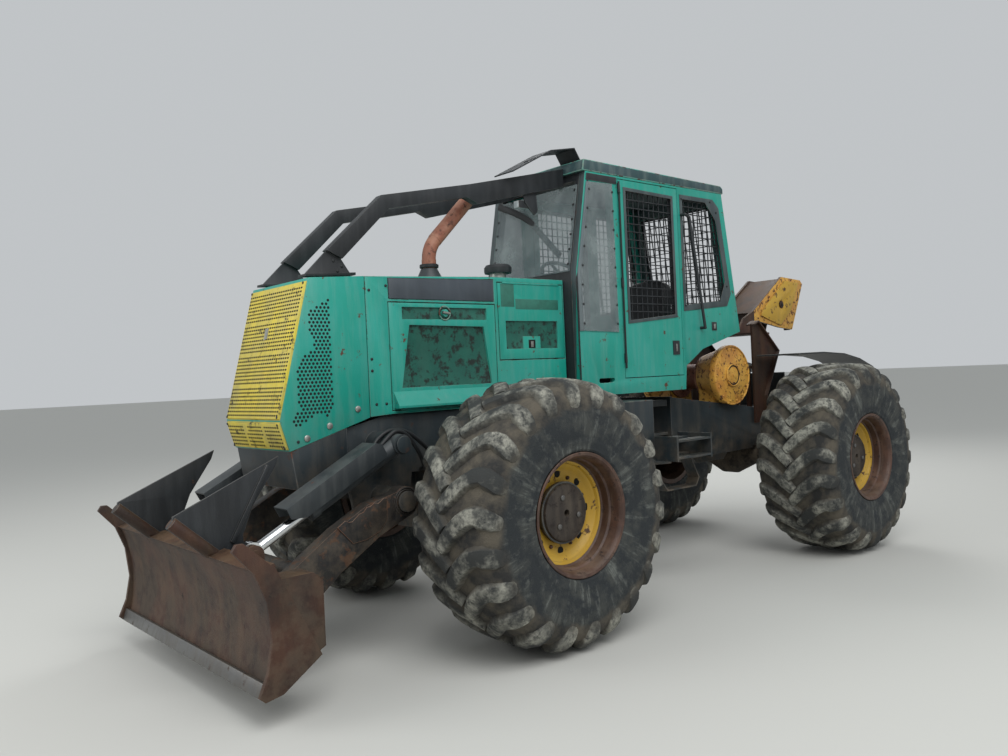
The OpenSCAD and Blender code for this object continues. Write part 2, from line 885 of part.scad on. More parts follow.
module push_arms() color(rust) front() {
  y = lift_y - arm_w / 2;
  both() difference() {
    plate(y, y + arm_w) {
      translate(arm_pin) circle(86);
      polygon([
        [650, 970], [930, 905], [1150, 790], [1440, 600], [1559, 500], [1559, 300],
        [1400, 330], [1120, 560], [860, 720], [640, 812]
      ]);
    }
    bar(arm_pin, arm_pin_r + fit, y - 1, y + arm_w + 1);
  }
  bar([1290, 560], 55, -y - 1, y + 1);
}

// Lift cylinders, drawn along X from the barrel's pin and then turned into place
lift_len = norm(lift_eye - lift_pin);
lift_turn = atan2(lift_eye[1] - lift_pin[1], lift_eye[0] - lift_pin[0]);

module on_lift() {
  translate([lift_pin[0], lift_y, lift_pin[1]]) rotate([0, -lift_turn, 0]) children();
}

module along_x(r, x0, x1) {
  translate([x0, 0, 0]) rotate([0, 90, 0]) cylinder(h = x1 - x0, r = r);
}

module lift_barrel() {
  difference() {
    plate(-75, 75) polygon([[120, 0], [120, 80], [150, 104], [780, 104], [780, 40], [700, 0]]);
    plate(-65, 65) polygon([[110, -10], [110, 75], [150, 94], [800, 94], [800, -60]]);
  }
  difference() {
    union() {
      bar([0, 0], 58, -65, 65);
      along_x(54, 30, 660);
      along_x(60, 610, 665);
      plate(-66, 66) polygon([[180, 40], [180, 95], [200, 95], [200, 40]]);
      plate(-66, 66) polygon([[620, 40], [620, 95], [640, 95], [640, 40]]);
    }
    bar([0, 0], lift_pin_r + fit, -70, 70);
    along_x(lift_rod_r + fit, 115, 700);
  }
}

module lift_rod() {
  difference() {
    union() {
      along_x(lift_rod_r, 330, lift_len - 50);
      bar([lift_len, 0], 60, -29, 29);
    }
    bar([lift_len, 0], 40, -40, 40);
  }
}

module lift_barrel_left() color(frame_black) front() on_lift() lift_barrel();

module lift_barrel_right() color(frame_black) front() mirror([0, 1, 0]) on_lift() lift_barrel();

module lift_rod_left() color(steel) front() on_lift() lift_rod();

module lift_rod_right() color(steel) front() mirror([0, 1, 0]) on_lift() lift_rod();

// Steering cylinders, drawn along X the same way
steer_to = [pivot_x + steer_eye[0], steer_eye[1]];
steer_len = norm(steer_to - steer_pin);
steer_turn = atan2(steer_to[1] - steer_pin[1], steer_to[0] - steer_pin[0]);

module on_steer() {
  translate([steer_pin[0], steer_pin[1], steer_z]) rotate([0, 0, steer_turn]) children();
}

module steer_barrel() {
  difference() {
    union() {
      translate([0, 0, -40]) cylinder(h = 80, r = 42);
      along_x(45, 25, 650);
    }
    translate([0, 0, -50]) cylinder(h = 100, r = 20 + fit);
    along_x(25 + fit, 150, 700);
  }
}

module steer_rod() {
  along_x(25, 350, steer_len - 30);
  difference() {
    translate([steer_len, 0, -30]) cylinder(h = 60, r = 40);
    translate([steer_len, 0, -40]) cylinder(h = 80, r = 20);
  }
}

module steer_barrel_left() color(frame_black) front() on_steer() steer_barrel();

module steer_barrel_right() color(frame_black) front() mirror([0, 1, 0]) on_steer() steer_barrel();

module steer_rod_left() color(steel) front() on_steer() steer_rod();

module steer_rod_right() color(steel) front() mirror([0, 1, 0]) on_steer() steer_rod();

// Rear unit, from the rear axle
hinge_x = wheelbase / 2;
rear_plate_x = hinge_x - 400;
rear_end = -420;
rear_deck = 1195;

module rear_side_outline() {
  polygon([
    [rear_plate_x, 1350], [100, 1200], [rear_end, 1200], [rear_end, 900], [155, 900],
    [155, 840], [1100, 830], [rear_plate_x, 840]
  ]);
}

module rear_ear(z) {
  translate([0, 0, z]) linear_extrude(50) {
    translate([hinge_x, 0]) circle(130);
    polygon([
      [rear_plate_x - 20, -frame_in], [rear_plate_x - 20, frame_in],
      [hinge_x, 130], [hinge_x, -130]
    ]);
  }
}

module rear_frame() color(frame_black) rear() {
  difference() {
    union() {
      both() plate(frame_in, frame_half) rear_side_outline();
      box([rear_plate_x - 20, -frame_half, 835], [rear_plate_x, frame_half, 1355]);
      box([rear_end, -frame_half, 900], [rear_end + 20, frame_half, 1500]);
      across(frame_in + 1) polygon([
        [rear_plate_x - 10, 1328], [100, rear_deck - 15], [rear_end + 10, rear_deck - 15],
        [rear_end + 10, rear_deck], [100, rear_deck], [rear_plate_x - 10, 1343]
      ]);
      across(frame_in + 1) polygon([[215, 843], [1100, 833], [1100, 848], [215, 858]]);
      across(200) polygon([[900, 842], [820, 760], [420, 760], [330, 848]]);
      both() box([-150, 285, 860], [150, frame_half, 960]);
      both() for (z = [steer_z - 66, steer_z + 46]) {
        box([rear_plate_x - 10, steer_eye[1] - 50, z], [hinge_x + steer_eye[0] + 30, steer_eye[1] + 50, z + 20]);
      }
      for (z = [upper_ear[1] + 10, lower_ear[1] + 10]) {
        rear_ear(z);
      }
      for (z = [upper_ear[0], lower_ear[0]]) {
        translate([hinge_x, 0, z - 6]) cylinder(h = 90, r = pivot_r);
        translate([hinge_x, 0, z - 24]) cylinder(h = 18, r = 80);
      }
      box([-620, -110, 930], [rear_end + 5, 110, 962]);
      box([-500, -12, 960], [rear_end + 5, 12, 1080]);
    }
    bar([0, axle_z], axle_r + 0.3, -frame_half - 20, frame_half + 20);
    translate([-560, 0, 900]) cylinder(h = 100, r = 26);
  }
}

// Winch
winch_at = [530, 1500];
drum_half = 150;

module winch_side() {
  bar(winch_at, winch_r, 350, 400);
  translate([winch_at[0], drum_half + 8, winch_at[1]]) rotate([-90, 0, 0])
    cylinder(h = 350 - drum_half - 8, r1 = 190, r2 = winch_r - 14);
  plate(350, 400) polygon([
    [winch_at[0] - 225, winch_at[1] - 130], [winch_at[0] - 30, 1262], [winch_at[0] + 40, 1262],
    [winch_at[0] + 225, winch_at[1] - 130]
  ]);
  bar(winch_at, 95, 395, 412);
}

module winch_case() color(yellow) rear() {
  difference() {
    both() {
      winch_side();
      box([winch_at[0] - 160, drum_half + 10, 1230], [winch_at[0] + 160, 300, 1420]);
    }
    across(600) polygon([[100, 1201], [rear_plate_x - 10, 1351], [rear_plate_x, 1000], [100, 1000]]);
    bar(winch_at, 45 + fit, -drum_half - 60, drum_half + 60);
  }
}

module winch_drum() color(frame_black) rear() {
  bar(winch_at, 45, -drum_half - 55, drum_half + 55);
  bar(winch_at, drum_r, -drum_half, drum_half);
  both() bar(winch_at, 185, drum_half - 14, drum_half);
}

// Arch
head_in = head_half - 25;
roller_at = [-620, 2150];

module tower_outline() {
  polygon([
    [120, 1060], [120, 1935], [50, 1965], [-255, 1700], [-30, 1300], [-90, 1060]
  ]);
}

module head_outline() {
  polygon([
    [110, 1868], [0, 2010], [-170, 2085], [-660, 2420], [-1000, 2400], [-1040, 2362],
    [-820, 1910], [-600, 1930], [-260, 1985], [-190, 1868]
  ]);
}

module arch() color(rust) rear() {
  difference() {
    union() {
      both() {
        plate(frame_half + seat_gap, frame_half + 19) tower_outline();
        plate(frame_half - 40, frame_half + 50)
          strips([[-90, 1060], [-30, 1300], [-255, 1700], [50, 1965], [120, 1935]], 12);
        plate(head_in, head_half) head_outline();
        plate(head_in - 60, head_in + 1) strips([[-805, 1912], [-1028, 2362]], 14);
      }
      box([-180, -frame_half - 5, 1855], [110, frame_half + 5, 1873]);
      box([0, -frame_half - 5, 1545], [90, frame_half + 5, 1575]);
      for (y = [-240 : 120 : 240]) {
        box([30, y - 18, rear_deck + seat_gap], [60, y + 18, 1550]);
      }
      across(head_in + 1) strips([[-170, 2070], [-655, 2404]], 14);
      across(head_in + 1) strips([[-655, 2404], [-1000, 2384]], 14);
    }
    bar(roller_at, 25 + fit, -head_half - 20, head_half + 20);
    box([rear_end, -frame_half - seat_gap, 1000], [200, frame_half + seat_gap, rear_deck + seat_gap]);
    both() plate(frame_in - 1, frame_half + seat_gap) translate([rear_end, 1000])
      square([700, 1200 - 1000 + seat_gap]);
  }
}

module head_plates() color(yellow) rear() both() {
  difference() {
    plate(head_half + 0.5, head_half + 14) polygon([
      [-700, 2385], [-950, 2372], [-790, 2090], [-600, 1950], [-270, 2040], [-300, 2090]
    ]);
    bar(roller_at, 40, head_half - 10, head_half + 40);
  }
}

module fairlead_roller() color(steel) rear() {
  bar(roller_at, roller_r, -head_in + 5, head_in - 5);
  bar(roller_at, 25, -head_half - 12, head_half + 12);
}

module fenders() color(frame_black) rear() both() {
  plate(frame_half + 50.5, 800) polygon([
    [110, 1650], [-300, 1655], [-670, 1635], [-950, 1585], [-1210, 1500],
    [-1214, 1514], [-950, 1600], [-670, 1650], [-300, 1670], [110, 1665]
  ]);
}

module tyre_front_left() front() wheel_place(1) tyre();

module tyre_front_right() front() wheel_place(-1) tyre();

module tyre_rear_left() rear() wheel_place(1) tyre();

module tyre_rear_right() rear() wheel_place(-1) tyre();

module rim_front_left() front() wheel_place(1) rim();

module rim_front_right() front() wheel_place(-1) rim();

module rim_rear_left() rear() wheel_place(1) rim();

module rim_rear_right() rear() wheel_place(-1) rim();

front_frame();
frame_cross();
front_axle();
engine_block();
nose_pan();
nose_shell();
hood_shell();
hood_bands();
grille();
exhaust();
air_cleaner();
sweeps();
visor_sheet();
work_lamp();
cab_floor();
cab_sides();
cab_front();
cab_rear();
cab_roof();
cab_glass();
cab_mesh();
grab_rails();
seat();
console();
step_boxes();
steps();
door_left();
door_right();
engine_door_left();
engine_door_right();
access_panel_left();
access_panel_right();
blade();
cutting_edge();
ear_guards();
push_arms();
lift_barrel_left();
lift_barrel_right();
lift_rod_left();
lift_rod_right();
steer_barrel_left();
steer_barrel_right();
steer_rod_left();
steer_rod_right();
rear_frame();
rear_axle();
winch_case();
winch_drum();
arch();
head_plates();
fairlead_roller();
fenders();
tyre_front_left();
tyre_front_right();
tyre_rear_left();
tyre_rear_right();
rim_front_left();
rim_front_right();
rim_rear_left();
rim_rear_right();
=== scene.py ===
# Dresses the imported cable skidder: paint, rust and mud, tyres, glass, hoses, fasteners, light and camera.
import json
import math
import random

import bmesh
import bpy
from mathutils import Matrix, Vector, noise


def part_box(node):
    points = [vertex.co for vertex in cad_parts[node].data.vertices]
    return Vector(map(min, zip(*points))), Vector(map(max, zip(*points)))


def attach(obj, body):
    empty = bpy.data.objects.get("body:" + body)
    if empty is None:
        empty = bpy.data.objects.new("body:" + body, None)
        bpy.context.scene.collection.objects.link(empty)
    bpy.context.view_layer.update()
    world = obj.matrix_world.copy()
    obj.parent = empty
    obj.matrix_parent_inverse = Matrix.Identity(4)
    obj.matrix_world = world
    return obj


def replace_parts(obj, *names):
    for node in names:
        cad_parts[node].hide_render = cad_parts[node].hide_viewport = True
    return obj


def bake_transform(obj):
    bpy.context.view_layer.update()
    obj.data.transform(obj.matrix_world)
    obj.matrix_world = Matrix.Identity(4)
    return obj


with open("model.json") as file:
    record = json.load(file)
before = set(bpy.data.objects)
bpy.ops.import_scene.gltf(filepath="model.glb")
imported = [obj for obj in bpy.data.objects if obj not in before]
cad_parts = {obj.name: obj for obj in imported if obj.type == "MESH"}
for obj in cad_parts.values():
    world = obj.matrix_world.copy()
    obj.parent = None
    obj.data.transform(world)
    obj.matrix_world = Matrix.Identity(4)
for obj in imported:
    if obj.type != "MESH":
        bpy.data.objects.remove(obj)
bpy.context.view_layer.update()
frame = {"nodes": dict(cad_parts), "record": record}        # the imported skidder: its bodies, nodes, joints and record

random.seed(11)

nodeBody = {}
for bodyName, members in frame["record"]["behaviour"]["bodies"].items():
    for member in members:
        nodeBody[member] = bodyName
bothSides = ((1, "Left"), (-1, "Right"))      # the direction of y, and the end of a piece's name


def middle(node):
    low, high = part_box(node)
    return (low + high) / 2


# Both units are drawn from their own axle, in metres
frontX = middle("rim_front_left").x
rearX = middle("rim_rear_left").x
axleZ = middle("rim_front_left").z


def front(x, y, z):
    return Vector((frontX + x, y, z))


def rear(x, y, z):
    return Vector((rearX + x, y, z))


# Shader building

def linear(hexColour):
    channels = [int(hexColour[i:i + 2], 16) / 255 for i in (1, 3, 5)]
    return [c / 12.92 if c <= 0.04045 else ((c + 0.055) / 1.055) ** 2.4 for c in channels] + [1.0]


def setInputs(tree, node, values):
    # an input takes a value, a hex colour or the output of another node
    for name, value in values.items():
        if isinstance(value, bpy.types.NodeSocket):
            tree.links.new(value, node.inputs[name])
        else:
            node.inputs[name].default_value = linear(value) if isinstance(value, str) else value


def addNode(tree, inputs, kind, out=0, **settings):
    # makes one node and gives back one of its outputs
    made = tree.nodes.new(kind)
    for name, value in settings.items():
        setattr(made, name, value)
    setInputs(tree, made, inputs)
    return made.outputs[out]


# Settings that recur. A colour mix takes its share at 0 and its colours at 6 and 7.
mixColour = dict(kind="ShaderNodeMix", out=2, data_type="RGBA")
multiply = dict(kind="ShaderNodeMath", operation="MULTIPLY", use_clamp=True)
larger = dict(kind="ShaderNodeMath", operation="MAXIMUM")
remap = dict(kind="ShaderNodeMapRange")
speckle = dict(kind="ShaderNodeTexNoise")


def newMaterial(name):
    # the material, its tree, its shader and the place on the object in metres
    material = bpy.data.materials.new(name)
    material.use_nodes = True
    tree = material.node_tree
    where = addNode(tree, {}, "ShaderNodeTexCoord", out="Object")
    return material, tree, tree.nodes["Principled BSDF"], where


def patches(tree, where, sizeMm, low, high, detail=3.0, rough=0.6):
    # a noise whose patches are about sizeMm across, cut to 0..1 between low and high
    grain = addNode(tree, {"Vector": where, "Scale": 1000 / sizeMm, "Detail": detail, "Roughness": rough},
                    **speckle)
    return addNode(tree, {"Value": grain, "From Min": low, "From Max": high}, **remap)


# What a weathered coat takes: colours as sRGB hex, sizes in mm, shares from 0 to 1.
# patch is a faded area, streak a run of dust down a face, speck a rust spot,
# mudTop the height that mud reaches in m.
coatDefaults = dict(
    patch=420, fade=0.5, dust="#8f8f80", dustShare=0.3, streak=60,
    rust="#5c3524", speck=14, speckLow=0.66, speckHigh=0.72, mud="#6c5f4e", mudTop=0.0, mudShare=0.6,
    rough=0.55, worn=0.75, metallic=0.0, bump=0.15, grain=3.0,
)


def weathered(name, base, faded, **look):
    spec = {**coatDefaults, **look}
    material, tree, shader, where = newMaterial(name)
    facing = addNode(tree, {}, "ShaderNodeNewGeometry", out="Normal")
    height = addNode(tree, {"Vector": where}, "ShaderNodeSeparateXYZ", out="Z")
    upward = addNode(tree, {"Vector": facing}, "ShaderNodeSeparateXYZ", out="Z")

    fade = addNode(tree, {0: patches(tree, where, spec["patch"], 0.42, 0.62), 1: spec["fade"]}, **multiply)
    colour = addNode(tree, {0: fade, 6: base, 7: faded}, **mixColour)

    # dust runs down the faces and lies on what faces up
    tall = addNode(tree, {"Vector": where, "Scale": (1, 1, 0.12)}, "ShaderNodeMapping")
    runs = patches(tree, tall, spec["streak"], 0.45, 0.75, 5.0)
    runs = addNode(tree, {0: runs, 1: spec["dustShare"]}, **multiply)
    lying = addNode(tree, {"Value": upward, "From Min": 0.35, "From Max": 0.95, "To Max": 0.75}, **remap)
    lying = addNode(tree, {0: lying, 1: patches(tree, where, 90, 0.3, 0.6, 5.0)}, **multiply)
    lying = addNode(tree, {0: lying, 1: min(1.0, spec["dustShare"] * 2)}, **multiply)
    dusty = addNode(tree, {0: runs, 1: lying}, **larger)
    colour = addNode(tree, {0: dusty, 6: colour, 7: spec["dust"]}, **mixColour)

    rusty = patches(tree, where, spec["speck"] * 6, spec["speckLow"], spec["speckHigh"], 6.0, 0.7)
    colour = addNode(tree, {0: rusty, 6: colour, 7: spec["rust"]}, **mixColour)
    dull = addNode(tree, {0: dusty, 1: rusty}, **larger)

    if spec["mudTop"] > 0:
        reach = addNode(tree, {"Value": height, "From Min": spec["mudTop"], "From Max": spec["mudTop"] * 0.45,
                               "To Max": 1.6}, **remap)
        splash = addNode(tree, {0: reach, 1: patches(tree, where, 110, 0.4, 0.62, 8.0, 0.7)}, **multiply)
        splash = addNode(tree, {0: splash, 1: spec["mudShare"]}, **multiply)
        colour = addNode(tree, {0: splash, 6: colour, 7: spec["mud"]}, **mixColour)
        dull = addNode(tree, {0: dull, 1: splash}, **larger)

    gloss = addNode(tree, {"Value": dull, "To Min": spec["rough"], "To Max": spec["worn"]}, **remap)
    fine = addNode(tree, {"Vector": where, "Scale": 1000 / spec["grain"] / 3, "Detail": 4.0}, **speckle)
    raised = addNode(tree, {0: dull, 1: 0.6}, "ShaderNodeMath", operation="MULTIPLY")
    relief = addNode(tree, {0: fine, 1: raised}, "ShaderNodeMath", operation="ADD")
    bump = addNode(tree, {"Height": relief, "Strength": spec["bump"], "Distance": 0.004}, "ShaderNodeBump")
    setInputs(tree, shader, {"Base Color": colour, "Roughness": gloss, "Metallic": spec["metallic"],
                             "Normal": bump})
    return material


# Sprayed enamel on folded steel sheet: satin, faded in clouds, with dust runs and small rust spots
tealEnamel = weathered("tealEnamel", "#13907f", "#2f9a8e", dust="#7f9f98", dustShare=0.22, streak=45,
                       rust="#54392b", speckLow=0.635, speckHigh=0.67, rough=0.4, mudTop=1.55, mudShare=0.3)
# The same enamel on an edge, rubbed to a pale line with rust in it
tealEdge = weathered("tealEdge", "#43978a", "#6f7d74", fade=0.9, patch=110, dustShare=0.4, rust="#4d3428",
                     speckLow=0.52, speckHigh=0.58)
# Painted shade: the floors of pressed recesses in a darker teal, with dust and rust specks
recessShadeTeal = weathered("recessShadeTeal", "#0d5246", "#1b6454", patch=120, dust="#3f5a50",
                           dustShare=0.25, rust="#15241f", speck=9, speckLow=0.5, speckHigh=0.6)
# The cab's upper half: the same enamel under grey dust
dustyTealEnamel = weathered("dustyTealEnamel", "#2b4548", "#415056", fade=0.8, dust="#6f7d79",
                            dustShare=0.55, rough=0.6)
# Vinyl band, sun-bleached blue-grey
greyBand = weathered("greyBand", "#353c43", "#474f57", dust="#6d7478", dustShare=0.15, speckLow=0.8,
                     speckHigh=0.9, rough=0.5, bump=0.05)
# Yellow enamel on pressed and cast steel, chipped to brown
yellowEnamel = weathered("yellowEnamel", "#b8912a", "#c9a63e", dust="#93814f", rust="#4d3524", speck=9,
                         speckLow=0.57, speckHigh=0.62, rough=0.5)
# The same on castings that rub and rust: orange-brown
rustyYellow = weathered("rustyYellow", "#d3a144", "#b97f36", fade=0.9, patch=150, dust="#86683c",
                        rust="#56341f", speck=6, speckLow=0.54, speckHigh=0.60)
# The grille's enamel: brighter, and sooted in patches
grilleEnamel = weathered("grilleEnamel", "#d3bf3c", "#bcae5c", fade=0.7, patch=170, dust="#7c7757",
                         dustShare=0.4, rust="#3a3226", speck=12, speckLow=0.58, speckHigh=0.66)
# Blue-black chassis paint under dried mud
chassisPaint = weathered("chassisPaint", "#1a2327", "#28343a", dust="#57534b", rust="#3c2a22",
                         speckLow=0.62, speckHigh=0.7, rough=0.5, mudTop=1.2, mudShare=0.6)
# The same paint on an edge, rubbed grey
chassisEdge = weathered("chassisEdge", "#3d4144", "#5a5852", fade=0.8, patch=90, speckLow=0.58,
                        speckHigh=0.64)
# Matt black paint on guards and rails
matBlack = weathered("matBlack", "#171a1d", "#24292d", dust="#55585a", dustShare=0.2, speckLow=0.68,
                     speckHigh=0.74)
# The cover over a lift cylinder, faded to dark grey
coverGrey = weathered("coverGrey", "#22272a", "#343b3f", dust="#5d615f", rough=0.5)
# Hot-rolled plate rusted brown, streaked with pale dust
rustyPlate = weathered("rustyPlate", "#28180f", "#432517", fade=0.85, patch=300, dust="#70573a",
                       dustShare=0.26, streak=110, rust="#1e1713", speck=10, speckLow=0.6, speckHigh=0.72,
                       rough=0.62, worn=0.85, bump=0.4, mudTop=0.9, mudShare=0.25)
# Edges of the plate where soil keeps the rust light
rustyEdge = weathered("rustyEdge", "#664230", "#74573f", fade=0.8, patch=80, speckLow=0.6, speckHigh=0.7,
                      rough=0.6, bump=0.4)
# The push arms: black paint worn to brown rust
armPaint = weathered("armPaint", "#101011", "#211c19", fade=0.9, patch=170, dust="#4c4740", rust="#49301f",
                     speck=14, speckLow=0.55, speckHigh=0.62, bump=0.4, mudTop=1.0, mudShare=0.35)
# Steel pipe blued and rusted by heat
rustyPipe = weathered("rustyPipe", "#8a5440", "#a2735c", fade=0.8, patch=90, dust="#8a7a6c", dustShare=0.25,
                      rust="#4a2f26", speck=6, speckLow=0.55, speckHigh=0.65, rough=0.6, bump=0.35)
# Bare steel ground bright by soil
wornSteel = weathered("wornSteel", "#6f6f6e", "#565350", dust="#6a6256", dustShare=0.5, rust="#46362b",
                      speckLow=0.58, speckHigh=0.68, rough=0.4, metallic=0.7)
# Dried mud over cast axles: rough and brown
mudCake = weathered("mudCake", "#3c342b", "#4c4337", fade=0.9, patch=80, dust="#685f52", dustShare=0.5,
                    rust="#25211c", speck=12, speckLow=0.5, speckHigh=0.62, rough=0.9, worn=0.95, bump=0.9,
                    grain=6)


def plainMaterial(name, colour, rough, metallic=0.0, grainMm=2.0, relief=0.1, spread=0.25):
    # one colour with a little variation and grain
    material, tree, shader, where = newMaterial(name)
    share = addNode(tree, {0: patches(tree, where, grainMm * 8, 0.35, 0.65, 5.0), 1: spread}, **multiply)
    dark = "#" + "".join(f"{int(int(colour[i:i + 2], 16) * 0.55):02x}" for i in (1, 3, 5))
    mixed = addNode(tree, {0: share, 6: colour, 7: dark}, **mixColour)
    fine = addNode(tree, {"Vector": where, "Scale": 1000 / grainMm, "Detail": 3.0}, **speckle)
    bump = addNode(tree, {"Height": fine, "Strength": relief, "Distance": 0.002}, "ShaderNodeBump")
    setInputs(tree, shader, {"Base Color": mixed, "Roughness": rough, "Metallic": metallic, "Normal": bump})
    return material


# Hard chrome on the rods: a mirror, slightly fouled
chrome = plainMaterial("chrome", "#d8dadb", 0.12, metallic=1.0, spread=0.15, relief=0.02)
# Zinc-plated fasteners: grey with a dull sheen, and older ones gone black
zincBolt = plainMaterial("zincBolt", "#a9aaa4", 0.4, metallic=0.8, spread=0.5)
darkBolt = plainMaterial("darkBolt", "#2b2d2e", 0.5, metallic=0.4, spread=0.4)
# Extruded rubber hose and moulded edge strip: black, soft sheen
hoseRubber = plainMaterial("hoseRubber", "#1c1e20", 0.55, spread=0.3, relief=0.2)
# Coated seat cloth and moulded ABS in the cab: near black with a fine grain
seatVinyl = plainMaterial("seatVinyl", "#222427", 0.5, grainMm=3.0, relief=0.3, spread=0.3)
cabPlastic = plainMaterial("cabPlastic", "#26292c", 0.5, grainMm=1.5, relief=0.15)
# Painted shade: the dark behind a punched hole, a slot, a groove or a pocket, as a near-black coat on thin caps
holeShade = plainMaterial("holeShade", "#0b0f0e", 0.9)
# Pressed glass of the lamp, dusty
lampLens = plainMaterial("lampLens", "#a9b0b2", 0.2, spread=0.15)
# Enamel that a sticker once covered, darker and flat
fadedPatch = plainMaterial("fadedPatch", "#2f6f60", 0.6, spread=0.35, grainMm=6.0)
# Edges of the scoured clear sheet, and the painted strips that hold window mesh
greySheet = weathered("greySheet", "#5c666a", "#727c7e", dust="#8b9494", rough=0.35)
windowFrame = weathered("windowFrame", "#343f42", "#4a5658", dust="#6c7573", rough=0.5)


def polycarbonateSheet():
    # scratched clear sheet: grey haze over what is behind, duller where it is scoured
    material, tree, shader, where = newMaterial("polycarbonate")
    haze = patches(tree, where, 260, 0.35, 0.7, 6.0)
    colour = addNode(tree, {0: haze, 6: "#6a7477", 7: "#8d9898"}, **mixColour)
    clear = addNode(tree, {"Value": haze, "To Min": 0.45, "To Max": 0.66}, **remap)
    setInputs(tree, shader, {"Base Color": colour, "Alpha": clear, "Roughness": 0.22})
    return material


def tyreRubber():
    # black rubber: blue-black sidewall, brown soil in the grooves, pale scuffed dust on the lugs.
    # The mesh attribute "soil" is 0 on the sidewall, 0.5 in the grooves and 1 on top of a lug.
    material, tree, shader, where = newMaterial("tyreRubber")
    soil = addNode(tree, {}, "ShaderNodeAttribute", out="Fac", attribute_name="soil")
    # scuffs on the sidewall run outward: noise read by turn, from the attribute "spoke"
    spoke = addNode(tree, {}, "ShaderNodeAttribute", out="Vector", attribute_name="spoke")
    scuff = addNode(tree, {"Vector": spoke, "Scale": 14.0, "Detail": 6.0, "Roughness": 0.7}, **speckle)
    scuff = addNode(tree, {"Value": scuff, "From Min": 0.5, "From Max": 0.66}, **remap)
    blotch = patches(tree, where, 150, 0.45, 0.6, 6.0, 0.7)
    scuff = addNode(tree, {0: scuff, 1: blotch}, **multiply)
    scuff = addNode(tree, {0: scuff, 1: 0.75}, **multiply)
    muddy = addNode(tree, {0: blotch, 1: 0.35}, **multiply)
    side = addNode(tree, {0: muddy, 6: "#22272a", 7: "#55564f"}, **mixColour)
    side = addNode(tree, {0: scuff, 6: side, 7: "#737772"}, **mixColour)
    soiled = patches(tree, where, 130, 0.38, 0.62, 6.0)
    groove = addNode(tree, {0: soiled, 6: "#272726", 7: "#575146"}, **mixColour)
    worn = addNode(tree, {0: patches(tree, where, 200, 0.42, 0.60, 5.0, 0.65),
                          1: patches(tree, where, 35, 0.34, 0.56, 6.0, 0.7)}, **multiply)
    top = addNode(tree, {0: worn, 6: "#303231", 7: "#97968b"}, **mixColour)
    toGroove = addNode(tree, {"Value": soil, "From Max": 0.5}, **remap)
    toTop = addNode(tree, {"Value": soil, "From Min": 0.5}, **remap)
    colour = addNode(tree, {0: toGroove, 6: side, 7: groove}, **mixColour)
    colour = addNode(tree, {0: toTop, 6: colour, 7: top}, **mixColour)
    pitted = addNode(tree, {"Vector": where, "Scale": 90.0, "Detail": 8.0, "Roughness": 0.7}, **speckle)
    bump = addNode(tree, {"Height": pitted, "Strength": 0.7, "Distance": 0.008}, "ShaderNodeBump")
    setInputs(tree, shader, {"Base Color": colour, "Roughness": 0.85, "Normal": bump})
    return material


polycarbonate = polycarbonateSheet()
print("materials made")


# Mesh building

def newPiece(name, verts, faces, coats, node, smooth=30, rides=True):
    mesh = bpy.data.meshes.new(name)
    mesh.from_pydata([tuple(v) for v in verts], [], faces)
    return placePiece(name, mesh, coats, node, smooth, rides)


def placePiece(name, mesh, coats, node, smooth=30, rides=True):
    # a piece goes with a CAD node and takes that node's body
    for coat in coats:
        mesh.materials.append(coat)
    tidyNormals(mesh)
    if smooth:
        mesh.shade_smooth()
        mesh.set_sharp_from_angle(angle=math.radians(smooth))
    piece = bpy.data.objects.new(name, mesh)
    bpy.context.scene.collection.objects.link(piece)
    if rides:
        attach(piece, nodeBody[node])
    return piece


def tidyNormals(mesh):
    work = bmesh.new()
    work.from_mesh(mesh)
    bmesh.ops.recalc_face_normals(work, faces=work.faces)
    work.to_mesh(mesh)
    work.free()


def roundCorners(mesh, radius, slot):
    # rounds the sharp edges; the round faces take the coat in that slot
    work = bmesh.new()
    work.from_mesh(mesh)
    corners = [edge for edge in work.edges if edge.calc_face_angle(0) > 0.5]
    bmesh.ops.bevel(work, geom=corners, offset=radius, offset_type="OFFSET", segments=2, profile=0.5,
                    affect="EDGES", clamp_overlap=True, material=slot)
    work.to_mesh(mesh)
    work.free()


def applyModifiers(piece):
    depsgraph = bpy.context.evaluated_depsgraph_get()
    mesh = bpy.data.meshes.new_from_object(piece.evaluated_get(depsgraph))
    piece.modifiers.clear()
    old = piece.data
    piece.data = mesh
    bpy.data.meshes.remove(old)


def bevelled(node, coats, widthMm, third=None):
    # a copy of a CAD node with its corners rounded; the round faces take the second coat,
    # and the faces that pass the test third(spot, normal) take the third
    source = frame["nodes"][node]
    mesh = source.data.copy()
    mesh.materials.clear()
    work = bmesh.new()
    work.from_mesh(mesh)
    bmesh.ops.remove_doubles(work, verts=work.verts, dist=2e-5)
    for face in work.faces:
        face.material_index = 2 if third and third(face.calc_center_median(), face.normal) else 0
    bmesh.ops.dissolve_limit(work, angle_limit=math.radians(0.6), verts=work.verts, edges=work.edges,
                             delimit={"MATERIAL"})
    work.to_mesh(mesh)
    work.free()
    mesh.name = node + "Skin"
    if "custom_normal" in mesh.attributes:
        mesh.attributes.remove(mesh.attributes["custom_normal"])
    for coat in coats:
        mesh.materials.append(coat)
    piece = bpy.data.objects.new(node + "Skin", mesh)
    bpy.context.scene.collection.objects.link(piece)
    if widthMm:
        bevel = piece.modifiers.new("corners", "BEVEL")
        bevel.width = widthMm / 1000
        bevel.segments = 2
        bevel.limit_method = "ANGLE"
        bevel.angle_limit = math.radians(35)
        bevel.use_clamp_overlap = True
        bevel.material = 1
        applyModifiers(piece)
    piece.data.shade_smooth()
    piece.data.set_sharp_from_angle(angle=math.radians(30))
    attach(piece, nodeBody[node])
    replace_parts(piece, node)


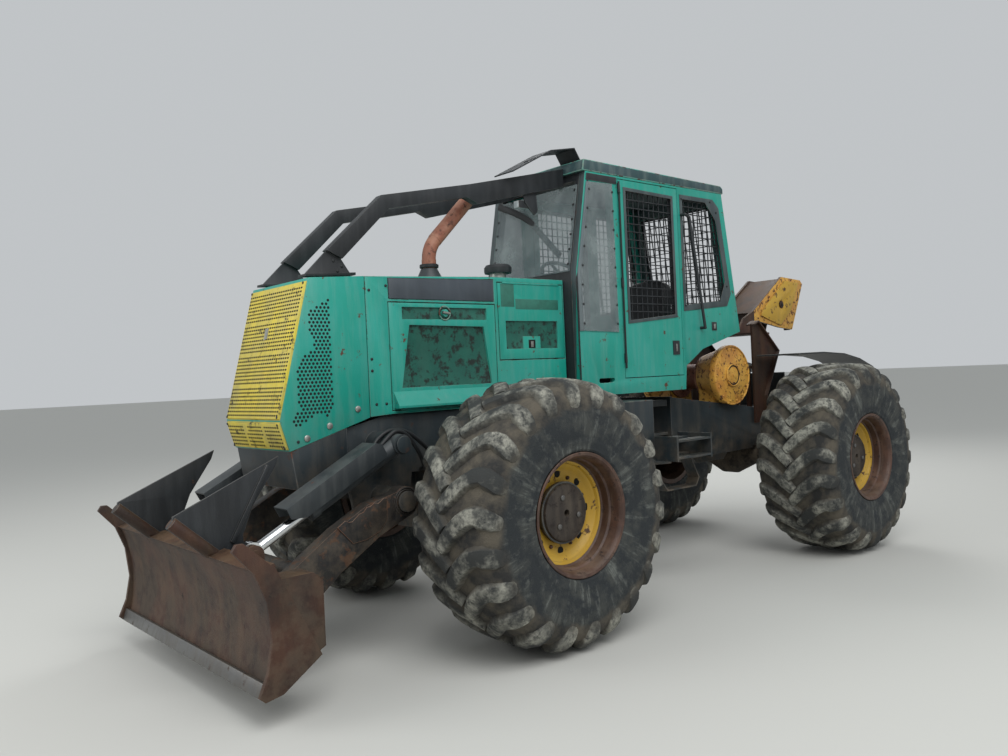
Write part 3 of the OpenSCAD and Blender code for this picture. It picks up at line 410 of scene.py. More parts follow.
def lathe(profile, steps, axis="Y"):
    # turns (along, radius) points about the axis through the origin; a closed profile gives a closed ring
    verts = []
    faces = []
    count = len(profile)
    for step in range(steps):
        angle = 2 * math.pi * step / steps
        for along, radius in profile:
            a, b = radius * math.cos(angle), radius * math.sin(angle)
            verts.append((a, along, b) if axis == "Y" else (a, b, along))
        for i in range(count):
            j = (i + 1) % count
            after = (step + 1) % steps * count
            faces.append((step * count + i, step * count + j, after + j, after + i))
    return verts, faces


def roundHeads(name, places, radius, height, coat, node, sides=8):
    # bolt heads in one mesh: places are (point, outward direction)
    verts, faces = [], []
    for point, outward in places:
        turn = Vector(outward).to_track_quat("Z", "Y").to_matrix()
        start = len(verts)
        rings = ((0.0, radius), (height * 0.6, radius), (height, radius * 0.62))
        for level, size in rings:
            for side in range(sides):
                angle = 2 * math.pi * side / sides
                local = Vector((size * math.cos(angle), size * math.sin(angle), level))
                verts.append(Vector(point) + turn @ local)
        for ring in range(len(rings) - 1):
            for side in range(sides):
                a = start + ring * sides + side
                b = start + ring * sides + (side + 1) % sides
                faces.append((a, b, b + sides, a + sides))
        faces.append(tuple(start + side for side in range(sides))[::-1])
        faces.append(tuple(start + 2 * sides + side for side in range(sides)))
    newPiece(name, verts, faces, [coat], node, 40)


def smoothLine(points, steps=8):
    # a smooth line through the points
    pts = [Vector(p) for p in points]
    ends = [pts[0] * 2 - pts[1]] + pts + [pts[-1] * 2 - pts[-2]]
    line = []
    for i in range(1, len(ends) - 2):
        p0, p1, p2, p3 = ends[i - 1:i + 3]
        for step in range(steps):
            t = step / steps
            line.append(0.5 * (2 * p1 + (p2 - p0) * t + (2 * p0 - 5 * p1 + 4 * p2 - p3) * t * t
                               + (3 * p1 - p0 - 3 * p2 + p3) * t ** 3))
    return line + [pts[-1]]


def tubeAlong(name, line, radius, coat, node, sides=10, rides=True):
    # a round bar or tube along a line
    verts, faces = [], []
    ahead = (line[1] - line[0]).normalized()
    side = ahead.orthogonal().normalized()
    for i, point in enumerate(line):
        before, after = line[max(0, i - 1)], line[min(len(line) - 1, i + 1)]
        ahead = (after - before).normalized()
        side = (side - ahead * side.dot(ahead)).normalized()
        other = ahead.cross(side)
        for k in range(sides):
            angle = 2 * math.pi * k / sides
            verts.append(point + (side * math.cos(angle) + other * math.sin(angle)) * radius)
    for i in range(len(line) - 1):
        for k in range(sides):
            a, b = i * sides + k, i * sides + (k + 1) % sides
            faces.append((a, b, b + sides, a + sides))
    faces.append(tuple(range(sides))[::-1])
    faces.append(tuple((len(line) - 1) * sides + k for k in range(sides)))
    return newPiece(name, verts, faces, [coat], node, 50, rides)


def prism(name, outline, near, far, coats, node, place=front, hole=None, roundMm=2.0):
    # a plate from a side view of (forward, up) points, between two distances from the centreline.
    # With a hole it is a frame, and both outlines have the same number of points.
    count = len(outline)
    verts = [place(x, y, z) for y in (near, far) for x, z in outline]
    ring = [(i, (i + 1) % count) for i in range(count)]
    faces = [(i, j, count + j, count + i) for i, j in ring]
    if hole:
        verts += [place(x, y, z) for y in (near, far) for x, z in hole]
        twice = 2 * count
        faces += [(twice + i, twice + j, twice + count + j, twice + count + i) for i, j in ring]
        faces += [(i, j, twice + j, twice + i) for i, j in ring]
        faces += [(count + i, count + j, twice + count + j, twice + count + i) for i, j in ring]
    else:
        faces += [tuple(range(count)), tuple(range(count, 2 * count))]
    mesh = bpy.data.meshes.new(name)
    mesh.from_pydata([tuple(v) for v in verts], [], faces)
    tidyNormals(mesh)
    roundCorners(mesh, roundMm / 1000, len(coats) - 1)
    placePiece(name, mesh, coats, node)


def rectangle(x0, x1, z0, z1):
    return [(x0, z0), (x1, z0), (x1, z1), (x0, z1)]


def circlePath(centre, radius, start=0.0, end=360.0, steps=36):
    # points round an axis along Y
    turns = [math.radians(start + (end - start) * i / steps) for i in range(steps + 1)]
    return [Vector(centre) + Vector((radius * math.cos(t), 0, radius * math.sin(t))) for t in turns]


# Tyres

tyreLook = dict(
    steps=132, lugs=22, lugWidth=0.088, lugDraft=0.016, lugFoot=0.052, treadRadius=0.76, wear=0.006,
    # soil reaches down the sidewall to this radius, give or take the wander
    soilEdge=0.59, soilWander=0.035, soilBlend=0.03, dentDepth=0.006,
    # the carcass from the middle of the tread to the bead, as (sideways, radius)
    carcass=[(0.0, 0.747), (0.10, 0.745), (0.19, 0.738), (0.255, 0.724), (0.295, 0.700), (0.318, 0.665),
             (0.327, 0.640), (0.331, 0.620), (0.334, 0.600), (0.336, 0.580), (0.337, 0.560), (0.336, 0.500),
             (0.329, 0.445), (0.325, 0.430), (0.327, 0.420), (0.325, 0.408), (0.320, 0.392), (0.319, 0.372),
             (0.310, 0.360), (0.290, 0.356), (0.287, 0.3303)],
    # a lug from its inner end to the sidewall, as (sideways, radius, along the tread)
    lug=[(-0.020, 0.7825, 0.000), (0.040, 0.7835, 0.060), (0.100, 0.783, 0.115), (0.160, 0.781, 0.160),
         (0.215, 0.775, 0.190), (0.258, 0.763, 0.200), (0.293, 0.742, 0.195), (0.316, 0.712, 0.185),
         (0.331, 0.672, 0.172), (0.3375, 0.632, 0.161), (0.331, 0.604, 0.154)],
)


def lugMesh(side, turn, verts, faces, soil):
    # one bent bar: eight points at each station, its foot sunk in the carcass
    stations = tyreLook["lug"]
    height = random.uniform(-tyreLook["wear"], 0)
    points = []
    for sideways, radius, along in stations:
        angle = turn - along / tyreLook["treadRadius"]
        r = radius + height
        points.append(Vector((r * math.sin(angle), side * sideways, r * math.cos(angle))))
    start = len(verts)
    last = len(points) - 1
    for i, point in enumerate(points):
        before, after = points[max(0, i - 1)], points[min(last, i + 1)]
        along = (after - before).normalized()
        a, b = stations[max(0, i - 1)], stations[min(last, i + 1)]
        slope = Vector((b[1] - a[1], -(b[0] - a[0])))     # outward in the (sideways, radius) plane
        slope.normalize()
        if slope.y < 0:
            slope.negate()
        radial = Vector((point.x, 0, point.z)).normalized()
        outward = (radial * slope.y + Vector((0, side * slope.x, 0))).normalized()
        if i >= last - 1:
            outward = (radial * 0.15 + Vector((0, side, 0))).normalized()
        across = along.cross(outward).normalized()
        outward = across.cross(along).normalized()
        half = tyreLook["lugWidth"] / 2 * (0.8 if i in (0, last) else 1.0 + 0.2 * (5 < i < last - 1))
        jitter = 1 + random.uniform(-0.05, 0.05)
        # half the bar's section from foot to crown, as (across, drop, soil)
        flank = ((half + tyreLook["lugDraft"], -tyreLook["lugFoot"], 0.45), (half, -0.015, 0.75),
                 (half * 0.84, -0.004, 1.0), (half * 0.45, 0.0, 1.0))
        for offset, drop, shade in [(-o, d, c) for o, d, c in flank] + list(reversed(flank)):
            verts.append(point + across * offset * jitter + outward * drop)
            soil.append(shade if i < last - 1 else shade * 0.75)
    for i in range(last):
        for k in range(7):
            a = start + i * 8 + k
            faces.append((a, a + 1, a + 9, a + 8))
        a = start + i * 8
        faces.append((a + 7, a, a + 8, a + 15))
    faces.append(tuple(start + k for k in range(8)))
    faces.append(tuple(start + last * 8 + k for k in range(8))[::-1])


def makeTyre(node, side):
    centre = middle(node)
    half = tyreLook["carcass"]
    profile = half + [(-w, r) for w, r in reversed(half)][:-1]
    verts, faces = lathe(profile, tyreLook["steps"])
    soil = []
    for x, y, z in verts:
        r = math.hypot(x, z)
        wander = noise.noise(Vector((x * 14, side * 3, z * 14)))
        edge = tyreLook["soilEdge"] + tyreLook["soilWander"] * wander
        soil.append(0.5 * min(1.0, max(0.0, (r - edge) / tyreLook["soilBlend"])))
    count = tyreLook["lugs"]
    for k in range(count):
        turn = 2 * math.pi * k / count
        lugMesh(1, turn, verts, faces, soil)
        lugMesh(-1, turn + math.pi / count, verts, faces, soil)
    verts = [Vector(v) for v in verts]
    for i, point in enumerate(verts):
        # worn and cut rubber: small uneven dents
        rough = noise.fractal(point * 9 + Vector((side * 7, centre.x, 0)), 0.6, 2.0, 3)
        radial = Vector((point.x, 0, point.z)).normalized()
        verts[i] = point - radial * max(0.0, rough) * tyreLook["dentDepth"]
    piece = newPiece(node + "Rubber", [v + centre for v in verts], faces, [rubber], node, 32)
    shade = piece.data.attributes.new("soil", "FLOAT", "POINT")
    shade.data.foreach_set("value", soil)
    spokes = []
    for point in verts:
        radius = math.hypot(point.x, point.z)
        spokes += [point.x / radius, point.z / radius, radius * 0.25]
    turn = piece.data.attributes.new("spoke", "FLOAT_VECTOR", "POINT")
    turn.data.foreach_set("vector", spokes)
    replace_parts(piece, node)


rubber = tyreRubber()
for axle in ("front", "rear"):
    for side, name in bothSides:
        makeTyre(f"tyre_{axle}_{name.lower()}", side)
print("tyres made")


# Wheel rims

rimLook = dict(
    steps=72,
    # the rolled barrel: outer face, flange lip, inner steps, and back
    barrel=[(-0.3175, 0.314), (-0.3175, 0.355), (-0.309, 0.3545), (-0.295, 0.331), (0.287, 0.3299),
            (0.298, 0.340), (0.307, 0.3535), (0.3145, 0.3548), (0.3175, 0.350), (0.313, 0.336),
            (0.300, 0.326), (0.285, 0.321), (0.235, 0.319), (0.225, 0.309), (0.180, 0.306),
            (0.172, 0.297), (0.155, 0.296), (0.150, 0.306), (-0.25, 0.312)],
    # the dished yellow ring welded in the barrel
    dish=[(0.148, 0.2955), (0.170, 0.2960), (0.166, 0.284), (0.150, 0.277), (0.140, 0.262), (0.126, 0.252),
          (0.118, 0.236), (0.118, 0.160), (0.090, 0.160), (0.090, 0.290), (0.120, 0.312)],
    # the hub's drum and cap
    hub=[(0.085, 0.02), (0.085, 0.166), (0.135, 0.168), (0.140, 0.178), (0.160, 0.178), (0.165, 0.166),
         (0.178, 0.162), (0.184, 0.150), (0.185, 0.020)],
    # the back of the disc, so the wheel isn't open from behind
    back=[(0.088, 0.02), (0.088, 0.300), (0.080, 0.300), (-0.13, 0.165), (-0.13, 0.02)],
)


def makeRim(node, side):
    centre = middle(node)
    out = Vector((0, side, 0))

    def ring(name, profile, coat):
        verts, faces = lathe(profile, rimLook["steps"])
        placed = [Vector((x, y * side, z)) + centre for x, y, z in verts]
        return newPiece(node + name, placed, faces, [coat], node)

    def heads(name, ringRadius, count, along, shift, radius, height, coat, sides):
        # a ring of bolt heads on the disc or the hub
        turns = [2 * math.pi * (k + shift) / count for k in range(count)]
        places = [(centre + Vector((ringRadius * math.sin(t), side * along, ringRadius * math.cos(t))), out)
                  for t in turns]
        roundHeads(node + name, places, radius, height, coat, node, sides)

    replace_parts(ring("Barrel", rimLook["barrel"], rimRust), node)
    ring("Dish", rimLook["dish"], yellowEnamel)
    ring("Hub", rimLook["hub"], hubPaint)
    # holes in the dish: near-black discs of painted shade
    heads("Holes", 0.222, 8, 0.1182, 0, 0.023, 0.0008, holeShade, 14)
    heads("Studs", 0.205, 8, 0.117, 0.5, 0.012, 0.016, rimRust, 6)
    heads("Plugs", 0.095, 3, 0.184, 0.15, 0.017, 0.012, wornSteel, 8)
    lip = circlePath(centre + out * 0.161, 0.174)
    tubeAlong(node + "HubLip", lip, 0.006, chassisEdge, node, 8)
    heads("HubBolts", 0.172, 12, 0.159, 0, 0.007, 0.006, hubPaint, 6)
    ring("Back", rimLook["back"], chassisPaint)


# Rolled steel rim, rusted brown where the tyre rubs it
rimRust = weathered("rimRust", "#3f2a21", "#5c3f31", fade=0.8, patch=120, dust="#7a6a5c", dustShare=0.35,
                    rust="#2b211d", speck=10, speckLow=0.56, speckHigh=0.66, bump=0.3)
# Cast hub under grease and dust
hubPaint = weathered("hubPaint", "#2b241f", "#3d362f", fade=0.8, patch=90, dust="#6f6455", dustShare=0.4,
                     rust="#241c18", speck=8, speckLow=0.55, speckHigh=0.65, rough=0.6, bump=0.3)
for axle in ("front", "rear"):
    for side, name in bothSides:
        makeRim(f"rim_{axle}_{name.lower()}", side)
print("rims made")


# Panels: copies of the CAD nodes with rounded corners, or the CAD node with a finish of its own

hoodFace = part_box("hood_shell")[1].y
doorGlass = [(-1.44, 2.95), (-2.035, 2.94), (-2.035, 1.98), (-1.44, 1.925)]


def inside(point, outline):
    x, z = point
    odd = False
    for (x0, z0), (x1, z1) in zip(outline, outline[1:] + outline[:1]):
        if (z0 > z) != (z1 > z) and x < (x1 - x0) * (z - z0) / (z1 - z0) + x0:
            odd = not odd
    return odd


def recessFloor(spot, normal):
    # the floor of a panel's pressed recess, 8 to 16 mm in from the hood's side, which takes the painted recess shade
    return hoodFace - 0.016 < abs(spot.y) < hoodFace - 0.008 and abs(normal.y) > 0.9


def doorMesh(spot, normal):
    # the window's bars and its cut edges, the latch plate and the hinges
    at = (spot.x - frontX, spot.z)
    return inside(at, doorGlass) or (at[0] < -1.955 and 1.68 < at[1] < 1.81) or at[0] > -1.3885


def cabCorner(spot, normal):
    # the walls' front edges, which the grey sheets cover
    return normal.x > 0.8 and spot.x > frontX - 1.12 and spot.z > 1.86


def headSide(spot, normal):
    # the fairlead head's outer faces
    return spot.z > 1.9 and abs(spot.y) > 0.189 and abs(normal.y) > 0.9 and spot.x < rearX - 0.2


def lampBox(spot, normal):
    return 0.2 < spot.y < 0.2635


def exhaustCollar(spot, normal):
    return spot.z < 2.328


def cleanerNeck(spot, normal):
    return spot.z < 2.311


def guardPipe(spot, normal):
    # the pipe along a guard's front edge, from its foot to its tip
    foot, tip = Vector((frontX + 1.745, 0, 0.735)), Vector((frontX + 1.965, 0, 0.935))
    along = (tip - foot).normalized()
    away = Vector((spot.x, 0, spot.z)) - foot
    return (away - along * away.dot(along)).length < 0.035 and abs(abs(spot.y) - 0.435) > 0.0075


def pair(name):
    return [name + "_left", name + "_right"]


skins = (
    # nodes, coats, corner radius in mm, test for the third coat
    (["nose_shell"], [tealEnamel, tealEdge], 7, None),
    (["hood_shell"], [tealEnamel, tealEdge], 6, None),
    (pair("engine_door"), [tealEnamel, tealEdge, recessShadeTeal], 4, recessFloor),
    (pair("access_panel"), [tealEnamel, tealEdge, recessShadeTeal], 3, recessFloor),
    (pair("door"), [tealEnamel, tealEdge, matBlack], 0, doorMesh),
    (["cab_sides"], [tealEnamel, tealEdge, windowFrame], 4, cabCorner),
    (["cab_roof"], [dustyTealEnamel, tealEdge], 8, None),
    (["cab_rear"], [dustyTealEnamel, tealEdge], 4, None),
    (["cab_front"], [matBlack, chassisEdge], 4, None),
    (["nose_pan", "step_boxes"], [chassisPaint, chassisEdge], 5, None),
    (["sweeps"], [matBlack, chassisEdge], 5, None),
    (["ear_guards"], [matBlack, wornSteel, rustyPlate], 2, guardPipe),
    (["exhaust"], [rustyPipe, rustyPipe, coverGrey], 0, exhaustCollar),
    (["air_cleaner"], [matBlack, matBlack, zincBolt], 0, cleanerNeck),
    (["cutting_edge"], [wornSteel, wornSteel], 3, None),
    (["fenders"], [matBlack, chassisEdge], 3, None),
    (["head_plates"], [yellowEnamel, rustyYellow], 3, None),
    (["hood_bands"], [greyBand, greyBand], 1.5, None),
    (["front_frame", "frame_cross", "rear_frame"], [chassisPaint, chassisEdge], 3, None),
    (["arch"], [rustyPlate, rustyEdge, rustyYellow], 2.5, headSide),
    (["blade"], [rustyPlate, rustyEdge], 3, None),
    (["push_arms"], [armPaint, rustyEdge], 4, None),
    (["winch_case"], [rustyYellow, yellowEnamel], 4, None),
    (["work_lamp"], [matBlack, chassisEdge, lampLens], 2, lampBox),
    (pair("lift_barrel"), [coverGrey, chassisEdge], 3, None),
)
for nodes, coats, radius, third in skins:
    for node in nodes:
        bevelled(node, coats, radius, third=third)
print("panels made")

finishes = (
    (mudCake, ["front_axle", "rear_axle"]),
    (matBlack, ["engine_block", "visor_sheet", "cab_floor", "cab_mesh", "grab_rails"]),
    (polycarbonate, ["cab_glass"]),
    (cabPlastic, ["console"]),
    (chassisPaint, ["steps"] + pair("steer_barrel")),
    (chrome, pair("lift_rod") + pair("steer_rod")),
    (rustyPipe, ["winch_drum"]),
    (wornSteel, ["fairlead_roller"]),
)
for coat, nodes in finishes:
    for node in nodes:
        mesh = frame["nodes"][node].data
        mesh.materials.clear()
        mesh.materials.append(coat)
print("finishes given")


# Hood: perforated patch, bolts

perforation = dict(
    pitch=0.0245, rowRise=0.866, radius=0.0086, columns=16, rows=40, start=(0.97, 1.30),
    # the patch on the nose's side as (forward, up) corners
    outline=[(0.985, 2.095), (0.985, 1.44), (1.03, 1.40), (1.10, 1.42), (1.235, 1.335), (1.255, 1.40),
             (1.20, 1.44), (1.215, 1.62), (1.185, 1.72), (1.10, 1.79), (1.10, 1.86), (1.125, 1.90),
             (1.125, 2.00), (1.03, 2.045)],
)


def makePerforation(side, name):
    # staggered rows of holes, where they fall inside the patch: thin near-black caps, the holes' painted shade
    face = side * (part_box("nose_shell")[1].y - 0.0002)
    pitch = perforation["pitch"]
    startX, startZ = perforation["start"]
    places = []
    for row in range(perforation["rows"]):
        z = startZ + row * pitch * perforation["rowRise"]
        for column in range(perforation["columns"]):
            x = startX + (column + 0.5 * (row % 2)) * pitch
            if inside((x, z), perforation["outline"]):
                places.append((front(x, face, z), (0, side, 0)))
    roundHeads("nosePerforation" + name, places, perforation["radius"], 0.0006, holeShade, "nose_shell", 8)


for side, name in bothSides:
    makePerforation(side, name)

hoodBolts = dict(
    large=[(0.83, 1.43), (1.02, 1.345), (1.165, 1.285)],
    small=[(0.72, 2.13), (0.72, 1.72), (0.72, 1.65), (0.70, 1.45), (0.63, 1.45), (0.60, 2.16), (1.22, 1.27)],
    # round the foot of each guard beam, on the beam's outer face
    beam=[(0.90, 2.305), (0.845, 2.275), (0.875, 2.245)], beamFace=0.278,
)


def boltsOn(points, face):
    return [(front(x, side * face, z), (0, side, 0)) for side, name in bothSides for x, z in points]


smallBolts = boltsOn(hoodBolts["small"], hoodFace) + boltsOn(hoodBolts["beam"], hoodBolts["beamFace"])
roundHeads("noseBolts", boltsOn(hoodBolts["large"], hoodFace), 0.019, 0.009, zincBolt, "nose_shell", 12)
roundHeads("hoodBolts", smallBolts, 0.009, 0.005, darkBolt, "hood_shell", 8)

latchLook = dict(
    handle=[(0.19, 0.014, 2.004), (0.165, 0.016, 2.0), (0.14, 0.014, 1.997)],
    pocket=rectangle(-0.612, -0.548, 1.768, 1.826),
    paddle=rectangle(-0.592, -0.568, 1.775, 1.815),
    stickers=(rectangle(-0.43, -0.31, 2.05, 2.205), rectangle(-0.845, -0.44, 2.035, 2.105)),
)
for side, name in bothSides:
    face = hoodFace * side
    door, panel = "engine_door_" + name.lower(), "access_panel_" + name.lower()
    # T-handle in its round dish on the engine door
    dish = circlePath(front(0.165, face + side * 0.001, 2.0), 0.043)
    tubeAlong("engineDoorDish" + name, dish, 0.005, tealEdge, door, 8)
    handle = [front(x, face + side * out, z) for x, out, z in latchLook["handle"]]
    tubeAlong("engineDoorHandle" + name, handle, 0.009, zincBolt, door, 8)
    # latch in the access panel: a pocket in painted shade and a small paddle
    prism("panelPocket" + name, latchLook["pocket"], face - side * 0.004, face - side * 0.0012, [holeShade],
          panel, roundMm=1.0)
    prism("panelPaddle" + name, latchLook["paddle"], face - side * 0.0015, face + side * 0.003, [zincBolt],
          panel, roundMm=1.5)
    # places where stickers once kept the sun off
    for index, outline in enumerate(latchLook["stickers"]):
        prism(f"fadedPatch{name}{index}", outline, face, face + side * 0.0006, [fadedPatch], panel,
              roundMm=0.2)
print("hood dressed")


# Grille: two sheets in the nose's mouth, their slots drawn as painted shade, with a blank plate

grilleLook = dict(
    sheet=0.013, rowStep=0.0225, dash=(0.0195, 0.0105), dashStep=0.0272, bandGap=0.013, half=0.345,
    # each sheet's lower and upper edge as (forward, up), and its rows of slots band by band
    sheets=(((1.3175, 1.400), (1.1160, 2.168), (8, 8, 8, 8)), ((1.2735, 1.232), (1.3180, 1.383), (6,))),
    # the lower sheet's two bars, which have no slots
    lowerBars=(-0.115, 0.115), barHalf=0.019, barLean=0.15, margin=0.020, screwInset=(0.010, 0.012),
    plate=((0.470, -0.03), (0.478, 0.01), (0.545, 0.005), (0.538, -0.035)),
)


def boxFaces():
    # the six faces between four corners and the four after them
    around = [(k, (k + 1) % 4, 4 + (k + 1) % 4, 4 + k) for k in range(4)]
    return [(0, 1, 2, 3), (4, 5, 6, 7)] + around


def makeGrille():
    half, thick = grilleLook["half"], grilleLook["sheet"]
    wide, tall = grilleLook["dash"]
    # a slot's rounded outline in shares of its width and height
    shape = ((-0.5, -0.32), (-0.32, -0.5), (0.32, -0.5), (0.5, -0.32), (0.5, 0.32), (0.32, 0.5), (-0.32, 0.5),
             (-0.5, 0.32))
    screws = []
    for sheet, (bottom, top, bands) in enumerate(grilleLook["sheets"]):
        upward = Vector((top[0] - bottom[0], 0, top[1] - bottom[1]))
        length = upward.length
        upward.normalize()
        outward = Vector((upward.z, 0, -upward.x))
        base = front(bottom[0], 0, bottom[1])

        def at(along, across, out):
            return base + upward * along + Vector((0, across, 0)) + outward * out

        mesh = bpy.data.meshes.new("grilleSheet")
        rim = ((0, -half), (length, -half), (length, half), (0, half))
        corners = [at(a, b, c) for c in (0, thick) for a, b in rim]
        mesh.from_pydata(corners, [], boxFaces())
        roundCorners(mesh, 0.004, 0)
        piece = placePiece(f"grilleSheet{sheet}", mesh, [grilleEnamel], "grille")
        if sheet == 0:
            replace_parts(piece, "grille")
        # the slots are thin near-black caps on the sheet's face: painted shade, not openings
        verts, faces = [], []
        along = grilleLook["margin"]
        for rows in bands:
            for row in range(rows):
                for column in range(-12, 13):
                    across = column * grilleLook["dashStep"]
                    bars = grilleLook["lowerBars"] if sheet else ()
                    lean = along * grilleLook["barLean"]
                    if any(abs(across - bar - lean) < grilleLook["barHalf"] for bar in bars):
                        continue
                    start = len(verts)
                    for out in (thick - 0.001, thick + 0.0004):
                        verts += [at(along + v * tall, across + u * wide, out) for u, v in shape]
                    faces.append(tuple(range(start + 8, start + 16)))
                    faces += [(start + k, start + (k + 1) % 8, start + 8 + (k + 1) % 8, start + 8 + k)
                              for k in range(8)]
                along += grilleLook["rowStep"]
            along += grilleLook["bandGap"]
        newPiece(f"grilleSlots{sheet}", verts, faces, [holeShade], "grille", 0)
        insetZ, insetY = grilleLook["screwInset"]
        for along in (insetZ, length - insetZ):
            for across in (-half + insetY, half - insetY):
                screws.append((at(along, across, thick), outward))
        if sheet == 0:
            plate = [at(a, b, c) for c in (thick, thick + 0.003) for a, b in grilleLook["plate"]]
            newPiece("grillePlate", plate, boxFaces(), [zincBolt], "grille", 0)
    roundHeads("grilleScrews", screws, 0.008, 0.005, darkBolt, "grille", 8)


makeGrille()
print("grille made")


# Cab: window frames, bolts on the clear sheets, latches and hinges

cabLook = dict(
    side=0.490, clearSheet=0.498,
    # the front wall leans back above its bend
    bend=2.30, wallLean=0.120 / 0.650, sheetLean=0.18,
    # rows of bolts on the clear sheets: count, first height, step
    sheetBolts=(8, 1.93, 0.138), paneBolts=(6, 2.36, 0.108),
    doorFrame=([(-1.445, 2.951), (-2.031, 2.941), (-2.031, 1.985), (-1.445, 1.931)],
               [(-1.470, 2.925), (-2.005, 2.916), (-2.005, 2.008), (-1.470, 1.957)]),
    rearFrame=([(-2.120, 2.965), (-2.560, 2.965), (-2.640, 2.900), (-2.765, 2.190), (-2.705, 2.085),
                (-2.120, 2.035)],
               [(-2.152, 2.930), (-2.455, 2.930), (-2.590, 2.790), (-2.690, 2.290), (-2.610, 2.130),
                (-2.152, 2.085)]),
    frameBolts=((-2.14, 2.93), (-2.14, 2.50), (-2.14, 2.08), (-2.60, 2.86), (-2.60, 2.13), (-2.52, 2.94),
                (-2.71, 2.25)),
    # the quarter sheet's front edge, out to the corner seal, and the dark strip over it
    sheetEdge=[(-0.920, 1.878), (-0.920, 2.290), (-1.050, 2.950), (-1.076, 2.950), (-0.962, 2.300),
               (-0.962, 1.878)],
    header=[(-1.048, 2.962), (-1.372, 2.962), (-1.372, 3.012), (-1.055, 3.012)],
    # rubber edge between the hood and the cab
    seal=[(-0.905, 1.45), (-0.905, 2.25), (-0.925, 2.30), (-1.065, 2.98), (-1.078, 2.98), (-0.940, 2.29),
          (-0.918, 2.25), (-0.918, 1.45)],
    wiperStrap=[(-0.995, -0.40, 2.915), (-0.990, -0.19, 2.825), (-0.985, -0.045, 2.740),
                (-0.980, 0.10, 2.600), (-0.975, 0.265, 2.440)],
)


def makeCabTrim(side, name):
    face = cabLook["side"] * side
    door = "door_" + name.lower()

    def strip(piece, outline, low, high, coats, node, **more):
        # a plate on the cab's side, from low to high millimetres out from it
        prism(piece + name, outline, face + side * low / 1000, face + side * high / 1000, coats, node, **more)

    outer, inner = cabLook["doorFrame"]
    strip("doorWindowFrame", outer, 0, 6, [windowFrame, chassisEdge], door, hole=inner)
    outer, inner = cabLook["rearFrame"]
    strip("rearWindowFrame", outer, 0, 5, [windowFrame, chassisEdge], "cab_sides", hole=inner)
    rod = [front(-1.39, face + side * 0.012, z) for z in (1.60, 2.1, 2.6, 2.985)]
    tubeAlong("hingeRod" + name, rod, 0.007, darkBolt, door, 8)
    # the latch in its dark plate, and a lock on the rear corner
    strip("doorPaddle", rectangle(-2.008, -1.992, 1.715, 1.775), 5, 10, [zincBolt], door)
    strip("cornerLatch", rectangle(-2.545, -2.480, 1.880, 1.950), 0, 6, [matBlack, chassisEdge], "cab_sides")
    strip("cornerPaddle", rectangle(-2.525, -2.500, 1.895, 1.935), 4, 10, [zincBolt], "cab_sides")
    bolts = [(front(x, face + side * 0.0045, z), (0, side, 0)) for x, z in cabLook["frameBolts"]]
    # two rows down the clear sheet, the front one along the leaning wall
    count, lowest, rise = cabLook["sheetBolts"]
    for step in range(count):
        z = lowest + step * rise
        for x in (-1.317, -0.964 - max(0.0, z - cabLook["bend"]) * cabLook["sheetLean"]):
            bolts.append((front(x, side * cabLook["clearSheet"], z), (0, side, 0)))
    roundHeads("cabBolts" + name, bolts, 0.0085, 0.006, darkBolt, "cab_sides", 8)
    strip("quarterSheetEdge", cabLook["sheetEdge"], 0, 7.5, [greySheet], "cab_sides", roundMm=1.0)
    strip("quarterHeader", cabLook["header"], 0, 6, [matBlack, chassisEdge], "cab_sides")
    strip("cabCornerSeal", cabLook["seal"], 0, 4, [hoseRubber], "cab_sides", roundMm=1.0)


for side, name in bothSides:
    makeCabTrim(side, name)

windshieldBolts = []
tilt = math.atan(cabLook["wallLean"])
count, lowest, rise = cabLook["paneBolts"]
for across in (-0.412, 0.412):
    for step in range(count):
        z = lowest + step * rise
        wall = -0.912 - max(0.0, z - cabLook["bend"]) * cabLook["wallLean"]
        windshieldBolts.append((front(wall + 0.0095, across, z), (math.cos(tilt), 0, math.sin(tilt))))
roundHeads("windshieldBolts", windshieldBolts, 0.009, 0.006, darkBolt, "cab_glass", 8)
# the strap behind the windshield: a round one, pressed flat
strapLine = smoothLine([front(*p) for p in cabLook["wiperStrap"]])
strap = tubeAlong("cabStrap", strapLine, 0.026, hoseRubber, "cab_front", 12)
strapX = frontX - 0.985
for vert in strap.data.vertices:
    vert.co.x = strapX + (vert.co.x - strapX) * 0.3
print("cab dressed")


# Exhaust clamp, winch covers, roller ends, torn plates on the push arms, and hoses

band = [(2.318, 0.045), (2.318, 0.060), (2.322, 0.063), (2.338, 0.063), (2.342, 0.060), (2.342, 0.045)]
verts, faces = lathe(band, 32, "Z")
newPiece("exhaustClamp", [Vector(v) + front(0.095, 0.12, 0) for v in verts], faces, [darkBolt], "exhaust")

winchLook = dict(centre=(0.530, 1.5), coverFace=0.400, hubFace=0.412, boltRing=0.222, bolts=14)
armLook = dict(
    face=0.595, pin=(0.680, 0.890), rings=(0.078, 0.066),
    # the torn plate on the arm's outer face as (forward, up)
    plate=[(1.1375, 0.806), (1.086, 0.838), (1.064, 0.826), (1.044, 0.826), (0.998, 0.862), (0.971, 0.868),
           (0.948, 0.893), (0.925, 0.894), (0.898, 0.912), (0.872, 0.904), (0.835, 0.930), (0.811, 0.926),
           (0.818, 0.802), (0.868, 0.745), (0.961, 0.712), (1.044, 0.705)],
)


